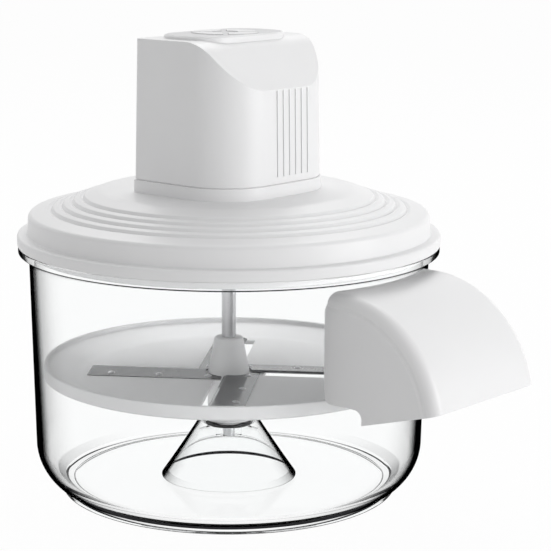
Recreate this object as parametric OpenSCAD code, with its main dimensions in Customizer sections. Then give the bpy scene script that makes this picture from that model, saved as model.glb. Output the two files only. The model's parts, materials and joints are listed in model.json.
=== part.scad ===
// Electric bowl peeler: a clear bowl with a bladed turntable, driven from a motor head on the lid.
// Millimetres. +Z up, origin on the bowl's axis at the table, the outlet chute faces -Y.

/* [Bowl] */
// Outer radius of the wall, just under the lip
bowl_r = 139.5; // [136:0.5:142]
// Height of the rim above the table
bowl_h = 174.5; // [172:0.5:177]
// Thickness of the clear wall and floor
wall_t = 3; // [2.4:0.1:3.4]
// Draft of the wall, in degrees
wall_draft = 1.2; // [0.8:0.1:1.6]
// Outer radius of the rounded bottom corner
corner_r = 35; // [32:0.5:38]
// How much lower the corner's outside sits than its inside, for a thick foot
corner_drop = 3.4; // [2:0.2:4.4]
// Outer radius of the foot ring
foot_r = 119.2; // [117:0.2:121]
// Width of the foot ring's face
foot_w = 7; // [5:0.5:9]
// Height of the bowl's underside above the table
foot_h = 2.5; // [2:0.1:3.5]
// How far the lip flares out from the wall
lip_out = 7.5; // [6:0.5:9]
// Height of the flared lip
lip_h = 12.5; // [11.5:0.5:13.5]
// Radius of the centre cone at the floor
cone_base_r = 48; // [45:0.5:51]
// Radius of the centre cone at its top
cone_top_r = 23.2; // [21.7:0.1:24.7]
// Height of the cone's top above the table
cone_h = 43; // [41:0.5:45]
// How far the cone's side is drawn in between base and top
cone_hollow = 0.6; // [0.4:0.1:2.4]

/* [Outlet] */
// Width of the port in the bowl's wall
port_w = 103; // [97:1:107]
// Sideways place of the middle of the outlet
port_x = 5.5; // [4:0.5:7]
// Height of the port
port_h = 67; // [62:1:68]
// Corner radius of the port
port_r = 8; // [5:0.5:10]
// How far the hood stands past the port on each side
hood_side = 3.5; // [3.2:0.1:5]
// Outer radius of the quarter-round hood
hood_r = 80.5; // [79:0.5:84]
// Wall thickness of the hood
hood_t = 2.5; // [2:0.1:2.8]
// Rounding between the hood's top and its sides
hood_round = 8; // [5:0.5:10]
// Rise of the hood's lower edge towards its lip, in degrees
hood_rise = 16.3; // [12:0.1:20]
// Distance from the wall to the step in the hood's lower edge
hood_step_y = 20; // [17:0.5:23]
// Depth of that step
hood_step_h = 9.5; // [8:0.5:11]
// Clearance of the hood's collar in the port
port_gap = 0.3; // [0.2:0.05:0.5]

/* [Turntable] */
// Gap between the turntable and the bowl's wall
disc_gap = 4; // [3:0.2:5]
// Height of the tray's upper face above the table
disc_z = 80; // [79:0.5:82]
// Thickness of the tray
disc_t = 3; // [2.6:0.1:3.6]
// Height of the raised rim above the tray
rim_h = 10.6; // [9:0.2:11]
// Width of the raised rim
rim_w = 3; // [2.4:0.1:4]
// Radius of the hub under the tray
hub_r = 15; // [13.5:0.5:17]
// Height of the drive socket above the tray
socket_h = 26; // [22:1:30]
// Number of blades
blade_count = 4; // [4]
// Direction of the first blade, in degrees from +X
blade_turn = -145; // [-157:1:-132]
// Width of a blade
blade_w = 24; // [21:0.5:26]
// Length of a blade
blade_l = 95; // [88:1:98]
// Thickness of a blade
blade_t = 1.2; // [1:0.1:1.6]
// Distance of a blade's inner end from the axis
blade_in = 3; // [2.5:0.5:7.5]
// Distance of the cutting edge from the radius it lies along
blade_side = -1.5; // [-2:0.5:2]
// Tilt of a blade that lifts its cutting edge, in degrees
blade_tilt = 4; // [3:0.5:6]
// Width of the ground bevel on the cutting edge
bevel_w = 2.5; // [1.5:0.1:3.5]
// Width of the slit in front of the cutting edge
slit_w = 6; // [5:0.5:7]
// Width of the ledge that carries a blade
ledge_w = 11; // [10:0.5:12]
// Gap between a blade and the turntable's hub
blade_clear = 1.2; // [1:0.1:2]

/* [Lid] */
// Height of the lid's flat centre above the bowl's rim
lid_h = 38; // [36:0.5:40]
// Wall thickness of the lid
lid_t = 3; // [2.6:0.1:3.4]
// Height of the lid's flange
flange_h = 8; // [7:0.5:8.5]
// Depth of the groove above the flange, from the flange's edge
neck_in = 7; // [6:0.1:7.5]
// Height of the rounded shoulder above the rim
shoulder_h = 21; // [20:0.1:22]
// Rounding of that shoulder
shoulder_round = 3; // [2.5:0.5:4.5]
// Radius of the lid's flat centre
plateau_r = 89; // [86:0.5:92]
// Number of ridge grooves round the lid
ridge_count = 4; // [4]
// Radius of the innermost groove
ridge_first = 102.3; // [100:0.1:104]
// Pitch of the grooves
ridge_pitch = 7.35; // [6.8:0.05:7.6]
// Radius of a groove's section
ridge_cut = 1.5; // [1:0.1:1.8]
// Depth of the skirt that plugs into the bowl
plug_h = 6; // [5:0.5:7.5]
// Clearance between that skirt and the bowl
plug_gap = 0.5; // [0.4:0.05:0.8]
// Width of the seal ring
seal_w = 4; // [3:0.2:4.6]
// Height of the seal ring
seal_h = 2.5; // [2:0.1:3]

/* [Motor head] */
// Width of the head at its foot
head_w = 116; // [113:0.5:118]
// Distance from the axis to the front face, at the foot
head_front = 53.5; // [52:0.5:55]
// Distance from the axis to the rear face, at the foot
head_back = 36; // [35.5:0.5:39.5]
// Height of the head above its collar
head_h = 96.1; // [93:0.1:98]
// Size of the head's top as a share of its foot
head_taper = 0.968; // [0.95:0.002:0.98]
// Radius of the front corners
head_front_r = 37; // [33:0.5:39]
// Radius of the rear corners
head_back_r = 4; // [3:0.5:6]
// Radius of the shoulder's rounding
slope_r = 27; // [25:0.5:29]
// Distance from the axis to where the shoulder starts
slope_start = 12.4; // [11:0.1:14]
// Steepness of the slope below the rounding, in degrees
slope_lean = 49.4; // [47:0.1:52]
// Wall thickness of the head
head_t = 2.5; // [2.2:0.1:2.8]
// Height of the collar band under the head
collar_h = 8.7; // [8:0.1:9.5]
// How far the collar stands out from the head
collar_out = 1; // [0.7:0.1:1.7]
// Number of vent slots
vent_count = 6; // [6]
// Pitch of the vent slots
vent_pitch = 6.2; // [5.8:0.1:6.8]
// Width of a vent slot
vent_w = 2; // [1.6:0.1:2.6]
// Height of a vent slot
vent_h = 58; // [52:0.5:59]
// Sideways place of the middle of the vents
vent_x = 5.5; // [3.5:0.5:7.5]

/* [Controls] */
// Width of the control pod
pod_w = 90; // [86:0.5:92]
// Depth of the control pod
pod_l = 54; // [52:0.5:55]
// Corner radius of the pod
pod_r = 22; // [20:0.5:24]
// Height of the pod above the head
pod_h = 2.5; // [2.3:0.1:3.8]
// Distance of the pod's middle behind the axis
pod_y = 4; // [3.5:0.1:4.5]
// Outer radius of the ring of keys
key_ring_r = 23; // [21.5:0.1:23.2]
// Inner radius of the ring of keys
key_ring_in = 9.5; // [8.5:0.1:10.5]
// Width of the bars between the keys
key_bar = 4; // [3.6:0.1:5]
// Travel of a key
key_travel = 0.8; // [0.5:0.1:1]
// Gap round a key
key_gap = 0.3; // [0.2:0.05:0.4]
// Thickness of the circuit board
board_t = 1.6; // [1.2:0.1:2]

/* [Drive] */
// Radius of the drive shaft
shaft_r = 5; // [4.5:0.1:5.5]
// Width across the flats of the shaft's hexagonal end
hex_flats = 8; // [7:0.1:8.4]
// Length of the hexagonal end
hex_l = 18; // [16:0.5:20]
// Gap between the hexagonal end and its socket
hex_gap = 0.3; // [0.2:0.05:0.4]
// Radius of the pin that the turntable turns on
pin_r = 4; // [3.6:0.1:4.6]
// Radial gap of a running fit
run_gap = 0.05; // [0.03:0.01:0.08]
// End gap between parts that turn past each other
end_gap = 0.3; // [0.2:0.05:0.5]
// Wall of the shaft's bushes
bush_t = 3; // [2.5:0.1:3.5]
// Module of the gears
gear_m = 1; // [0.95:0.01:1.02]
// Teeth on each pinion
pinion_teeth = 12; // [12]
// Teeth on each wheel
wheel_teeth = 36; // [36]
// Pressure angle of the gears, in degrees
press_angle = 25; // [24:0.5:26]
// Thinning of each tooth, for backlash
backlash = 0.16; // [0.12:0.01:0.22]
// Face width of the slow gear pair
slow_w = 8; // [7:0.5:8.5]
// Face width of the fast gear pair
fast_w = 6; // [5:0.5:6.5]
// Radius of the idler's axle
axle_r = 3; // [2.8:0.1:3.1]

/* [Motor] */
// Outer radius of the motor can
motor_r = 25; // [23:0.5:26]
// Length of the motor can
motor_l = 54; // [50:1:55]
// Wall of the motor can
can_t = 1.6; // [1.2:0.1:2]
// Thickness of the magnets
magnet_t = 4.6; // [4:0.1:5]
// Air gap round the armature
air_gap = 0.6; // [0.5:0.1:0.9]
// Radius of the rotor's shaft
rotor_r = 2.5; // [2.3:0.1:2.7]
// Thickness of the motor plate
plate_t = 2.5; // [2:0.1:3]

/* [Screws] */
// Shank radius of the housing screws
screw_r = 1.5; // [1.3:0.1:1.7]
// Head radius of the housing screws
screw_head_r = 2.9; // [2.7:0.1:3.2]
// Head height of the housing screws
screw_head_h = 1.8; // [1.4:0.1:2.2]
// Gap round a screw's shank in a clearance hole
screw_gap = 0.2; // [0.1:0.05:0.3]

/* [Hidden] */
$fn = 96;
far = 400;
eps = 0.01;

// Colours as the photo shows them
white_plastic = [0.93, 0.93, 0.93];
clear_plastic = [0.85, 0.9, 0.92, 0.35];
steel_grey = [0.7, 0.71, 0.73];
key_grey = [0.84, 0.84, 0.85];
plate_grey = [0.5, 0.5, 0.52];
dark_plastic = [0.14, 0.14, 0.15];
brass_yellow = [0.78, 0.63, 0.32];
soft_grey = [0.75, 0.76, 0.77];
board_green = [0.1, 0.34, 0.2];
gear_cream = [0.88, 0.86, 0.78];
magnet_grey = [0.25, 0.25, 0.27];

// Levels of the bowl
floor_z = foot_h + wall_t;
lip_z = bowl_h - lip_h;
corner_z = floor_z + corner_r - wall_t;
function wall_r(z) = bowl_r - (lip_z - z) * tan(wall_draft);
corner_c = [wall_r(corner_z) - corner_r, corner_z];
outer_z = corner_z - corner_drop;
outer_c = [wall_r(outer_z) - corner_r, outer_z];
foot_angle = -acos((foot_r - outer_c[0]) / corner_r);
lip_r = bowl_r + lip_out;
lip_edge = 4.5;
boss_r = pin_r + 5;
boss_l = 8;
pin_bevel = 0.9;

// Levels of the turntable
rim_z = disc_z + rim_h;
disc_r = wall_r(disc_z) - wall_t - disc_gap;
disc_under = disc_z - disc_t;
disc_round = 4;
rim_bevel = 1;
rim_fillet = 2;
slot_end = 1;
slot_in = blade_w + blade_side + 3;
seat_gap = 0.6;
washer_t = 1.4;
washer_r = cone_top_r - 6;
hub_z = cone_h + washer_t + end_gap / 2;
socket_z = disc_z + socket_h;
socket_floor = socket_z - hex_l;
socket_wall = 5;
hub_bush_l = disc_under - hub_z;
pin_top = hub_z + hub_bush_l - pin_bevel;
blade_sink = 0.8;
blade_edge_t = 0.1;
blade_screw_r = 1.4;
blade_screw_l = 1.6;
blade_head_r = 2.6;
blade_head_h = 0.9;
blade_dome_r = 4;
blade_hole_side = 17;
blade_holes = [for (share = [0.1, 0.47, 0.83]) [share * blade_l, blade_hole_side]];

// Levels of the outlet
port_drop = 4;
port_top = lip_z - port_drop;
port_z = port_top - port_h;
hood_w = port_w + 2 * hood_side;
hood_over = 2.5;
hood_y = 1 - bowl_r;
hood_z = lip_z + hood_over - hood_r;
hood_sweep = 100;
hood_step_r = 6;
hood_corner_r = 5;
collar_t = 2;
collar_proud = 1.8;
collar_in_r = wall_r(port_z) - wall_t - collar_proud;
flange_y = -(bowl_r + 1);

// Levels of the lid
lid_z = bowl_h + end_gap;
flange_r = lip_r + 0.5;
flange_z = bowl_h + flange_h;
neck_r = flange_r - neck_in;
shoulder_z = bowl_h + shoulder_h;
lid_top = bowl_h + lid_h;
slope_drop = (lid_top - shoulder_z) / (neck_r - shoulder_round - plateau_r);
plug_r = bowl_r - wall_t - plug_gap;
plug_in = plug_r - lid_t;
plug_z = bowl_h - plug_h;
seal_r = bowl_r + 1.5;
plug_bevel = 1;
flange_round = 1.5;
neck_draft = 1;
seal_gap = 0.1;
shaft_boss_l = 26;
shaft_boss_z = lid_top - lid_t - shaft_boss_l;
bush_r = shaft_r + bush_t;
boss_wall = 4;
function ridge_r(i) = ridge_first + i * ridge_pitch;
function slope_z(r) = shoulder_z + (neck_r - shoulder_round - r) * slope_drop;

// Levels of the motor head
base_t = 2.5;
base_z = lid_top + base_t;
collar_z = lid_top + collar_h;
head_z = collar_z + head_h;
pod_z = head_z + pod_h;
pod_t = 2.5;
vent_z = collar_z + 5;
vent_lean = 8;

// Levels of the gear train
pinion_pitch = gear_m * pinion_teeth / 2;
wheel_pitch = gear_m * wheel_teeth / 2;
gear_c = pinion_pitch + wheel_pitch;
tooth_top = gear_m;
tooth_root = 1.25 * gear_m;
root_land = 0.05 * gear_m;
flank_steps = 4;
slow_z = base_z + 2;
fast_z = slow_z + slow_w + 2;
plate_z = fast_z + fast_w + 3;
motor_z = plate_z + plate_t;
motor_top = motor_z + motor_l;
cap_h = 5;
hub_step = 0.3;
shaft_top = slow_z + slow_w + 0.8;
rotor_z = shaft_top + 0.6;
rotor_top = motor_top + cap_h + 1;
bush_flange_out = 2;
upper_bush_l = 13;
lower_bush_l = 9;
seal_l = 4;
seal_lip = 1;
seal_lip_h = 1.2;
clip_t = 1.2;
clip_groove = 0.8;
clip_out = 3;
clip_mouth = 4;
clip_z = shaft_boss_z - clip_t - end_gap;
hex_end = 1;
thread_gap = 0.05;

// Inside of the motor
can_floor = 3;
cap_boss_r = 7;
cap_boss_h = 1;
cap_spigot = 4;
cap_spigot_t = 2;
magnet_in = 4;
magnet_end = 13;
armature_in = 5;
armature_end = 14;
armature_slots = 10;
slot_l = 6;
slot_w = 1.6;
commutator_r = 7;
commutator_l = 9;
commutator_end = 3;
bearing_hole = 4;

// Bosses and posts inside the head
post_r = 4;
post_x = 30;
post_y = 27;
posts = [for (sx = [-1, 1], sy = [-1, 1]) [sx * post_x, sy * post_y]];
plate_margin = 6;
magnet_apart = 12;
boss_in_back = 10;
boss_in_front = 18;
housing_bosses = [for (side = [-1, 1]) each [
    [side * (head_w / 2 - boss_in_back), head_back - boss_in_back],
    [side * (head_w / 2 - boss_in_front), boss_in_front - head_front]]];
boss_h = 22;
rib_t = 2;
rib_drop = 6;
motor_bolt_c = 14;
axle_wall = 2.5;
axle_seat = lid_top + 0.8;
post_hole_l = 10;
shank_r = screw_r - 0.15;
pilot_r = shank_r + thread_gap;
boss_hole_l = boss_h - 3;
housing_screw_l = lid_t + base_t + boss_hole_l - 4;
plate_screw_l = plate_t + post_hole_l - 2;

// Levels of the controls
skin_z = pod_z - pod_t;
key_proud = 0.6;
key_top = pod_z + key_proud;
key_flange = 0.8;
key_flange_h = 1.6;
key_flange_z = skin_z - key_gap - key_flange_h;
key_stem_r = 2;
key_rest = 0.1;
switch_w = 6;
switch_body = 3.5;
switch_stem = 1.5;
switch_stem_r = 1.75;
board_drop = 9.4;
board_corner = 3;
board_inset = 4;
board_post_r = 3;
board_screw_r = 0.95;
board_screw_l = 6;
board_head_r = 2;
board_head_h = 1.2;
board_z = skin_z - board_drop - board_t;
switch_top = board_z + board_t + switch_body + switch_stem;
key_foot = switch_top + key_travel + key_rest;
key_mid = (key_ring_r + key_ring_in) / 2;
pod_bevel = 1;
inlay_t = 0.8;
inlay_in = 2;
inlay_gap = 0.1;
panel_z = board_z + board_t;
panel_gap = 0.2;
panel_flange = 1.5;
panel_flange_t = 1.8;
board_w = pod_w - 14;
board_l = pod_l - 12;
board_posts = [for (sx = [-1, 1], sy = [-1, 1])
    [sx * (board_w / 2 - board_inset), pod_y + sy * (board_l / 2 - board_inset)]];

// Power inlet in the rear wall
inlet_w = 20;
inlet_h = 12;
inlet_l = 11.5;
inlet_x = 30;
inlet_up = 34;
inlet_z = collar_z + inlet_up;
inlet_pitch = 8.6;
inlet_pin_r = 1.2;
inlet_lobe_r = 4.2;
inlet_depth = 9;
inlet_gap = 0.2;
inlet_flange = 2;
inlet_flange_t = 1.4;
inlet_flange_in = 2;
inlet_waist = 0.5;
inlet_pin_in = 2;
inlet_y = head_back * (1 - (1 - head_taper) * (inlet_z - collar_z) / head_h);

// Points along an arc
function arc(c, r, a0, a1, n) =
    [for (i = [0 : n]) let (a = a0 + (a1 - a0) * i / n) c + r * [cos(a), sin(a)]];

// Points along a curve from a to c that bends towards b
function bend(a, b, c, n) =
    [for (i = [0 : n]) let (t = i / n) pow(1 - t, 2) * a + 2 * t * (1 - t) * b + t * t * c];

// Flat ring on the axis
module ring(r_in, r_out, h) rotate_extrude() translate([r_in, 0]) square([r_out - r_in, h]);

// Rectangle with round corners, centred
module round_rect(w, l, r) {
    square([w - 2 * r, l], center = true);
    square([w, l - 2 * r], center = true);
    for (sx = [-1, 1], sy = [-1, 1]) translate([sx * (w / 2 - r), sy * (l / 2 - r)]) circle(r = r);
}

// Slab with round corners and a bevel all round its top
module bevel_slab(w, l, r, h, c) {
    linear_extrude(h - c) round_rect(w, l, r);
    translate([0, 0, h - c]) {
        for (sx = [-1, 1], sy = [-1, 1]) translate([sx * (w / 2 - r), sy * (l / 2 - r), 0])
            cylinder(r1 = r, r2 = r - c, h = c);
        rotate([90, 0, 90]) linear_extrude(w - 2 * r, center = true)
            polygon([[-l / 2, 0], [l / 2, 0], [l / 2 - c, c], [c - l / 2, c]]);
        rotate([90, 0, 0]) linear_extrude(l - 2 * r, center = true)
            polygon([[-w / 2, 0], [w / 2, 0], [w / 2 - c, c], [c - w / 2, c]]);
    }
}

// Screw with a flat round head, head upwards, its seat at z = 0
module screw(r, l, head_r, head_h) {
    translate([0, 0, -l]) cylinder(r = r, h = l);
    cylinder(r = head_r, h = head_h);
}

// Half angle of a gear's tooth at radius r, in degrees
function involute(a) = tan(a) * 180 / PI - a;
function tooth_half(teeth, r) = let (pitch = gear_m * teeth / 2, base = pitch * cos(press_angle))
    90 / teeth - backlash / 2 / pitch * 180 / PI + involute(press_angle) - involute(acos(min(1, base / r)));
function tooth_radii(teeth) = let (pitch = gear_m * teeth / 2, root = pitch - tooth_root,
    tip = pitch + tooth_top, start = max(root + root_land, pitch * cos(press_angle)))
    [root, for (i = [0 : flank_steps]) start + (tip - start) * i / flank_steps];
function polar(r, a) = r * [cos(a), sin(a)];

// Outline of a spur gear with a tooth on +X
module gear_outline(teeth) {
    radii = tooth_radii(teeth);
    last = len(radii) - 1;
    polygon([for (k = [0 : teeth - 1]) let (a = 360 / teeth * k) each concat(
        [for (r = radii) polar(r, a - tooth_half(teeth, r))],
        [for (i = [last : -1 : 0]) polar(radii[i], a + tooth_half(teeth, radii[i]))])]);
}

module spur_gear(teeth, w, bore) difference() {
    linear_extrude(w) gear_outline(teeth);
    translate([0, 0, -1]) cylinder(r = bore, h = w + 2);
}

// Outer outline of the bowl from foot to rim, in radius and height
function bowl_outside(grow) = concat(
    [[foot_r + grow, 0]],
    arc(outer_c, corner_r + grow, foot_angle, 0, 10),
    bend([bowl_r + grow, lip_z - grow], [bowl_r + 1 + grow, bowl_h - lip_edge - 2 - grow],
        [lip_r + grow, bowl_h - lip_edge - grow], 6),
    [[lip_r + grow, bowl_h + grow]]);

// Clear bowl with its foot ring, lip and port
module bowl() color(clear_plastic) {
    inner_r = corner_r - wall_t;
    difference() {
        rotate_extrude() polygon(concat(
            [[foot_r - foot_w, 0]],
            bowl_outside(0),
            [[bowl_r - wall_t, bowl_h], [wall_r(corner_z) - wall_t, corner_z]],
            arc(corner_c, inner_r, 0, -90, 10),
            [[0, floor_z], [0, foot_h], [foot_r - foot_w, foot_h]]));
        translate([port_x, -bowl_r, (port_z + port_top) / 2]) rotate([90, 0, 0])
            linear_extrude(bowl_r, center = true) round_rect(port_w, port_h, port_r);
    }
}

// Clear flared cone, welded to the middle of the bowl's floor, with a boss for the spindle pin
module centre_cone() color(clear_plastic) {
    cone_mid = [(cone_base_r + cone_top_r) / 2 - cone_hollow, (floor_z + cone_h) / 2];
    rotate_extrude() polygon(concat(
        bend([cone_base_r, floor_z], cone_mid, [cone_top_r, cone_h], 6),
        [[pin_r, cone_h], [pin_r, cone_h - boss_l], [boss_r, cone_h - boss_l], [boss_r, cone_h - wall_t]],
        bend([cone_top_r - wall_t, cone_h - wall_t], cone_mid - [wall_t, wall_t],
            [cone_base_r - wall_t, floor_z], 6)));
}

// Steel pin pressed into the top of the cone
module spindle_pin() color(steel_grey) translate([0, 0, cone_h - boss_l]) {
    pin_l = pin_top - cone_h + boss_l;
    cylinder(r = pin_r, h = pin_l - pin_bevel);
    translate([0, 0, pin_l - pin_bevel]) cylinder(r1 = pin_r, r2 = pin_r - pin_bevel, h = pin_bevel);
}

module thrust_washer() color(soft_grey) translate([0, 0, cone_h]) ring(pin_r + run_gap, washer_r, washer_t);

// Section of the hood across its sweep: distance from the sweep's axis, then sideways place
module hood_section(inset) {
    r = hood_r - inset;
    half = hood_w / 2 - inset;
    round = hood_round - inset;
    translate([0, -half]) square([r - round, 2 * half]);
    translate([0, round - half]) square([r, 2 * (half - round)]);
    for (side = [-1, 1]) translate([r - round, side * (half - round)]) circle(r = round);
}

// Solid quarter-round body of the hood, carried straight on into the wall
module hood_body(inset) {
    translate([port_x, hood_y, hood_z]) rotate([0, 90, 0]) rotate([0, 0, 180])
        rotate_extrude(angle = hood_sweep) hood_section(inset);
    translate([port_x, hood_y - eps, hood_z]) rotate([-90, 0, 0]) linear_extrude(bowl_r / 2)
        rotate([0, 0, -90]) hood_section(inset);
}

// Side view of what stays of the hood: the lower edge steps down and then rises to the lip
module hood_side_view() {
    step_y = -bowl_r - hood_step_y;
    low_z = port_z - hood_step_h;
    reach = hood_r + bowl_r;
    wall_y = -sqrt(pow(wall_r(port_z), 2) - pow(hood_w / 2 - port_x, 2));
    polygon(concat(
        [[0, port_z + hood_corner_r]],
        arc([wall_y - hood_corner_r, port_z + hood_corner_r], hood_corner_r, 0, -90, 5),
        arc([step_y + hood_step_r, port_z - hood_step_r], hood_step_r, 90, 180, 6),
        [[step_y, low_z], [step_y - reach, low_z + reach * tan(hood_rise)], [step_y - reach, far], [0, far]]));
}

// White outlet hood with a collar through the port and a flange against the wall
module chute_hood() color(white_plastic) {
    difference() {
        intersection() {
            difference() {
                hood_body(0);
                hood_body(hood_t);
            }
            translate([port_x, 0, 0]) rotate([90, 0, 90]) linear_extrude(hood_w + 2, center = true)
                hood_side_view();
        }
        rotate_extrude() polygon(concat([[0, 0]], bowl_outside(port_gap), [[0, bowl_h + port_gap]]));
    }
    difference() {
        translate([port_x, flange_y - collar_t, (port_z + port_top) / 2]) rotate([-90, 0, 0])
            linear_extrude(bowl_r / 2)
            round_rect(port_w - 2 * port_gap, port_h - 2 * port_gap, port_r - port_gap);
        translate([port_x, flange_y - collar_t - 1, (port_z + port_top) / 2]) rotate([-90, 0, 0])
            linear_extrude(bowl_r) round_rect(port_w - 2 * (port_gap + collar_t),
                port_h - 2 * (port_gap + collar_t), port_r - port_gap - collar_t);
        cylinder(r = collar_in_r, h = far);
    }
    difference() {
        intersection() {
            translate([port_x, flange_y, hood_z]) rotate([90, 0, 0]) linear_extrude(collar_t)
                rotate([0, 0, 90]) hood_section(hood_t / 2);
            translate([0, 0, port_z + port_gap + far / 2]) cube([far, far, far], center = true);
        }
        translate([port_x, flange_y - collar_t / 2, (port_z + port_top) / 2]) rotate([-90, 0, 0])
            linear_extrude(2 * collar_t, center = true) round_rect(port_w - 2 * (port_gap + collar_t),
                port_h - 2 * (port_gap + collar_t), port_r - port_gap - collar_t);
    }
}

// Places its children at each blade: x outwards, y away from the cutting edge, z up from the blade's seat
module at_blade(k) rotate([0, 0, blade_turn + 360 / blade_count * k])
    translate([blade_in, blade_side + blade_w, disc_z - blade_sink]) rotate([-blade_tilt, 0, 0])
    translate([0, -blade_w, 0]) children();

// Plate of a blade with its ground bevel
module blade_plate() rotate([90, 0, 90]) linear_extrude(blade_l)
    polygon([[0, 0], [blade_w, 0], [blade_w, blade_t], [bevel_w, blade_t], [0, blade_edge_t]]);

// Blade with its screw holes, hollowed round the hub
module blade(k) color(steel_grey) difference() {
    at_blade(k) difference() {
        blade_plate();
        for (p = blade_holes) translate([p[0], p[1], -1]) cylinder(r = blade_screw_r + screw_gap, h = blade_t + 2);
    }
    cylinder(r = hub_r + blade_clear, h = far);
}

// Oval-headed screws that hold the blades
module blade_screws() color(steel_grey) for (k = [0 : blade_count - 1], p = blade_holes)
    at_blade(k) translate([p[0], p[1], blade_t]) {
        translate([0, 0, -blade_t - blade_screw_l]) cylinder(r = blade_screw_r, h = blade_t + blade_screw_l);
        intersection() {
            translate([0, 0, blade_head_h - blade_dome_r]) sphere(r = blade_dome_r);
            cylinder(r = blade_head_r, h = blade_head_h);
        }
    }

// White turntable tray with raised rim, hub, drive socket and four blade slots
module blade_disc() color(white_plastic) difference() {
    union() {
        rotate_extrude() polygon(concat(
            [[0, disc_under]],
            arc([disc_r - disc_round, disc_under + disc_round], disc_round, -90, 0, 5),
            [[disc_r, rim_z - rim_bevel], [disc_r - rim_bevel, rim_z], [disc_r - rim_w, rim_z],
             [disc_r - rim_w, disc_z + rim_fillet], [disc_r - rim_w - rim_fillet, disc_z], [0, disc_z]]));
        translate([0, 0, hub_z]) cylinder(r = hub_r, h = disc_under - hub_z + eps);
        translate([0, 0, disc_z - eps])
            cylinder(r1 = hub_r, r2 = hex_flats / sqrt(3) + socket_wall, h = socket_h);
    }
    translate([0, 0, hub_z - 1]) cylinder(r = pin_r + run_gap + bush_t, h = hub_bush_l + 1);
    translate([0, 0, socket_floor]) cylinder(r = (hex_flats / 2 + hex_gap) * 2 / sqrt(3), h = far, $fn = 6);
    for (k = [0 : blade_count - 1]) {
        rotate([0, 0, blade_turn + 360 / blade_count * k])
            translate([slot_in, blade_side - slit_w, disc_under - 1])
            cube([blade_in + blade_l - slot_end - slot_in, slit_w + blade_w - ledge_w, disc_t + 2]);
        difference() {
            at_blade(k) blade_plate();
            cylinder(r = hub_r + blade_clear - seat_gap, h = far);
        }
        at_blade(k) for (p = blade_holes) translate([p[0], p[1], -far / 2])
            cylinder(r = blade_screw_r + thread_gap, h = far / 2);
    }
}

module hub_bush() color(brass_yellow) translate([0, 0, hub_z])
    ring(pin_r + run_gap, pin_r + run_gap + bush_t, hub_bush_l - end_gap);

// White lid: flange on the bowl's lip, ridged slope, flat centre, plug skirt and shaft boss
module lid() color(white_plastic) {
    in_r = neck_r - lid_t;
    difference() {
        rotate_extrude() polygon(concat(
            [[plug_in, plug_z], [plug_r - plug_bevel, plug_z], [plug_r, plug_z + plug_bevel], [plug_r, lid_z]],
            [[flange_r - flange_round, lid_z], [flange_r, lid_z + flange_round]],
            arc([flange_r - flange_round, flange_z - flange_round], flange_round, 0, 90, 4),
            bend([neck_r + flange_round, flange_z], [neck_r, flange_z], [neck_r, flange_z + flange_round], 3),
            arc([neck_r - shoulder_round - neck_draft, shoulder_z - shoulder_round], shoulder_round, 0, 70, 6),
            bend([plateau_r + 2, slope_z(plateau_r + 2)], [plateau_r, lid_top], [plateau_r - 3, lid_top], 4),
            [[0, lid_top], [0, lid_top - lid_t], [plateau_r - 2, lid_top - lid_t],
             [neck_r - shoulder_round - neck_draft, shoulder_z - lid_t],
             [in_r - neck_draft, shoulder_z - shoulder_round - lid_t],
             [in_r - neck_draft, flange_z - neck_draft],
             [plug_in, flange_z - lid_t]]));
        for (i = [0 : ridge_count - 1])
            rotate_extrude() translate([ridge_r(i), slope_z(ridge_r(i))]) circle(r = ridge_cut, $fn = 24);
        translate([0, 0, bowl_h]) ring(seal_r - seal_gap, seal_r + seal_w + seal_gap, seal_h);
        translate([0, 0, shaft_boss_z]) cylinder(r = bush_r, h = far);
        for (p = housing_bosses) translate([p[0], p[1], shaft_boss_z])
            cylinder(r = screw_r + screw_gap, h = far);
    }
    translate([0, 0, shaft_boss_z]) ring(bush_r, bush_r + boss_wall, shaft_boss_l + eps);
}

module lid_seal() color(soft_grey) translate([0, 0, bowl_h]) ring(seal_r, seal_r + seal_w, seal_h);

// Plan of the motor head, grown outwards; front corners large, rear corners small
module head_plan(grow) {
    half = head_w / 2 + grow;
    front = head_front + grow;
    back = head_back + grow;
    fr = head_front_r + grow;
    br = head_back_r + grow;
    translate([-half + fr, -front]) square([2 * (half - fr), front + back - br]);
    translate([-half + br, 0]) square([2 * (half - br), back]);
    translate([-half, -front + fr]) square([2 * half, front + back - fr - br]);
    for (side = [-1, 1]) {
        translate([side * (half - fr), -front + fr]) circle(r = fr);
        translate([side * (half - br), back - br]) circle(r = br);
    }
}

// Side view of the head: flat top, rounded shoulder, and a straight slope down to the front face
module head_side_view(inset) {
    c = [-slope_start, head_z - slope_r];
    foot = c + (slope_r - inset) * [-sin(slope_lean), cos(slope_lean)]
        - head_front * [cos(slope_lean), sin(slope_lean)];
    polygon(concat([[far / 2, 0], [far / 2, head_z - inset]],
        arc(c, slope_r - inset, 90, 90 + slope_lean, 12), [foot, [foot[0], 0]]));
}

// Tapered head, shrunk by inset
module head_body(inset) intersection() {
    translate([0, 0, collar_z]) linear_extrude(head_h, scale = head_taper) head_plan(-inset, $fn = 64);
    rotate([90, 0, 90]) linear_extrude(far, center = true) head_side_view(inset);
}

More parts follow.
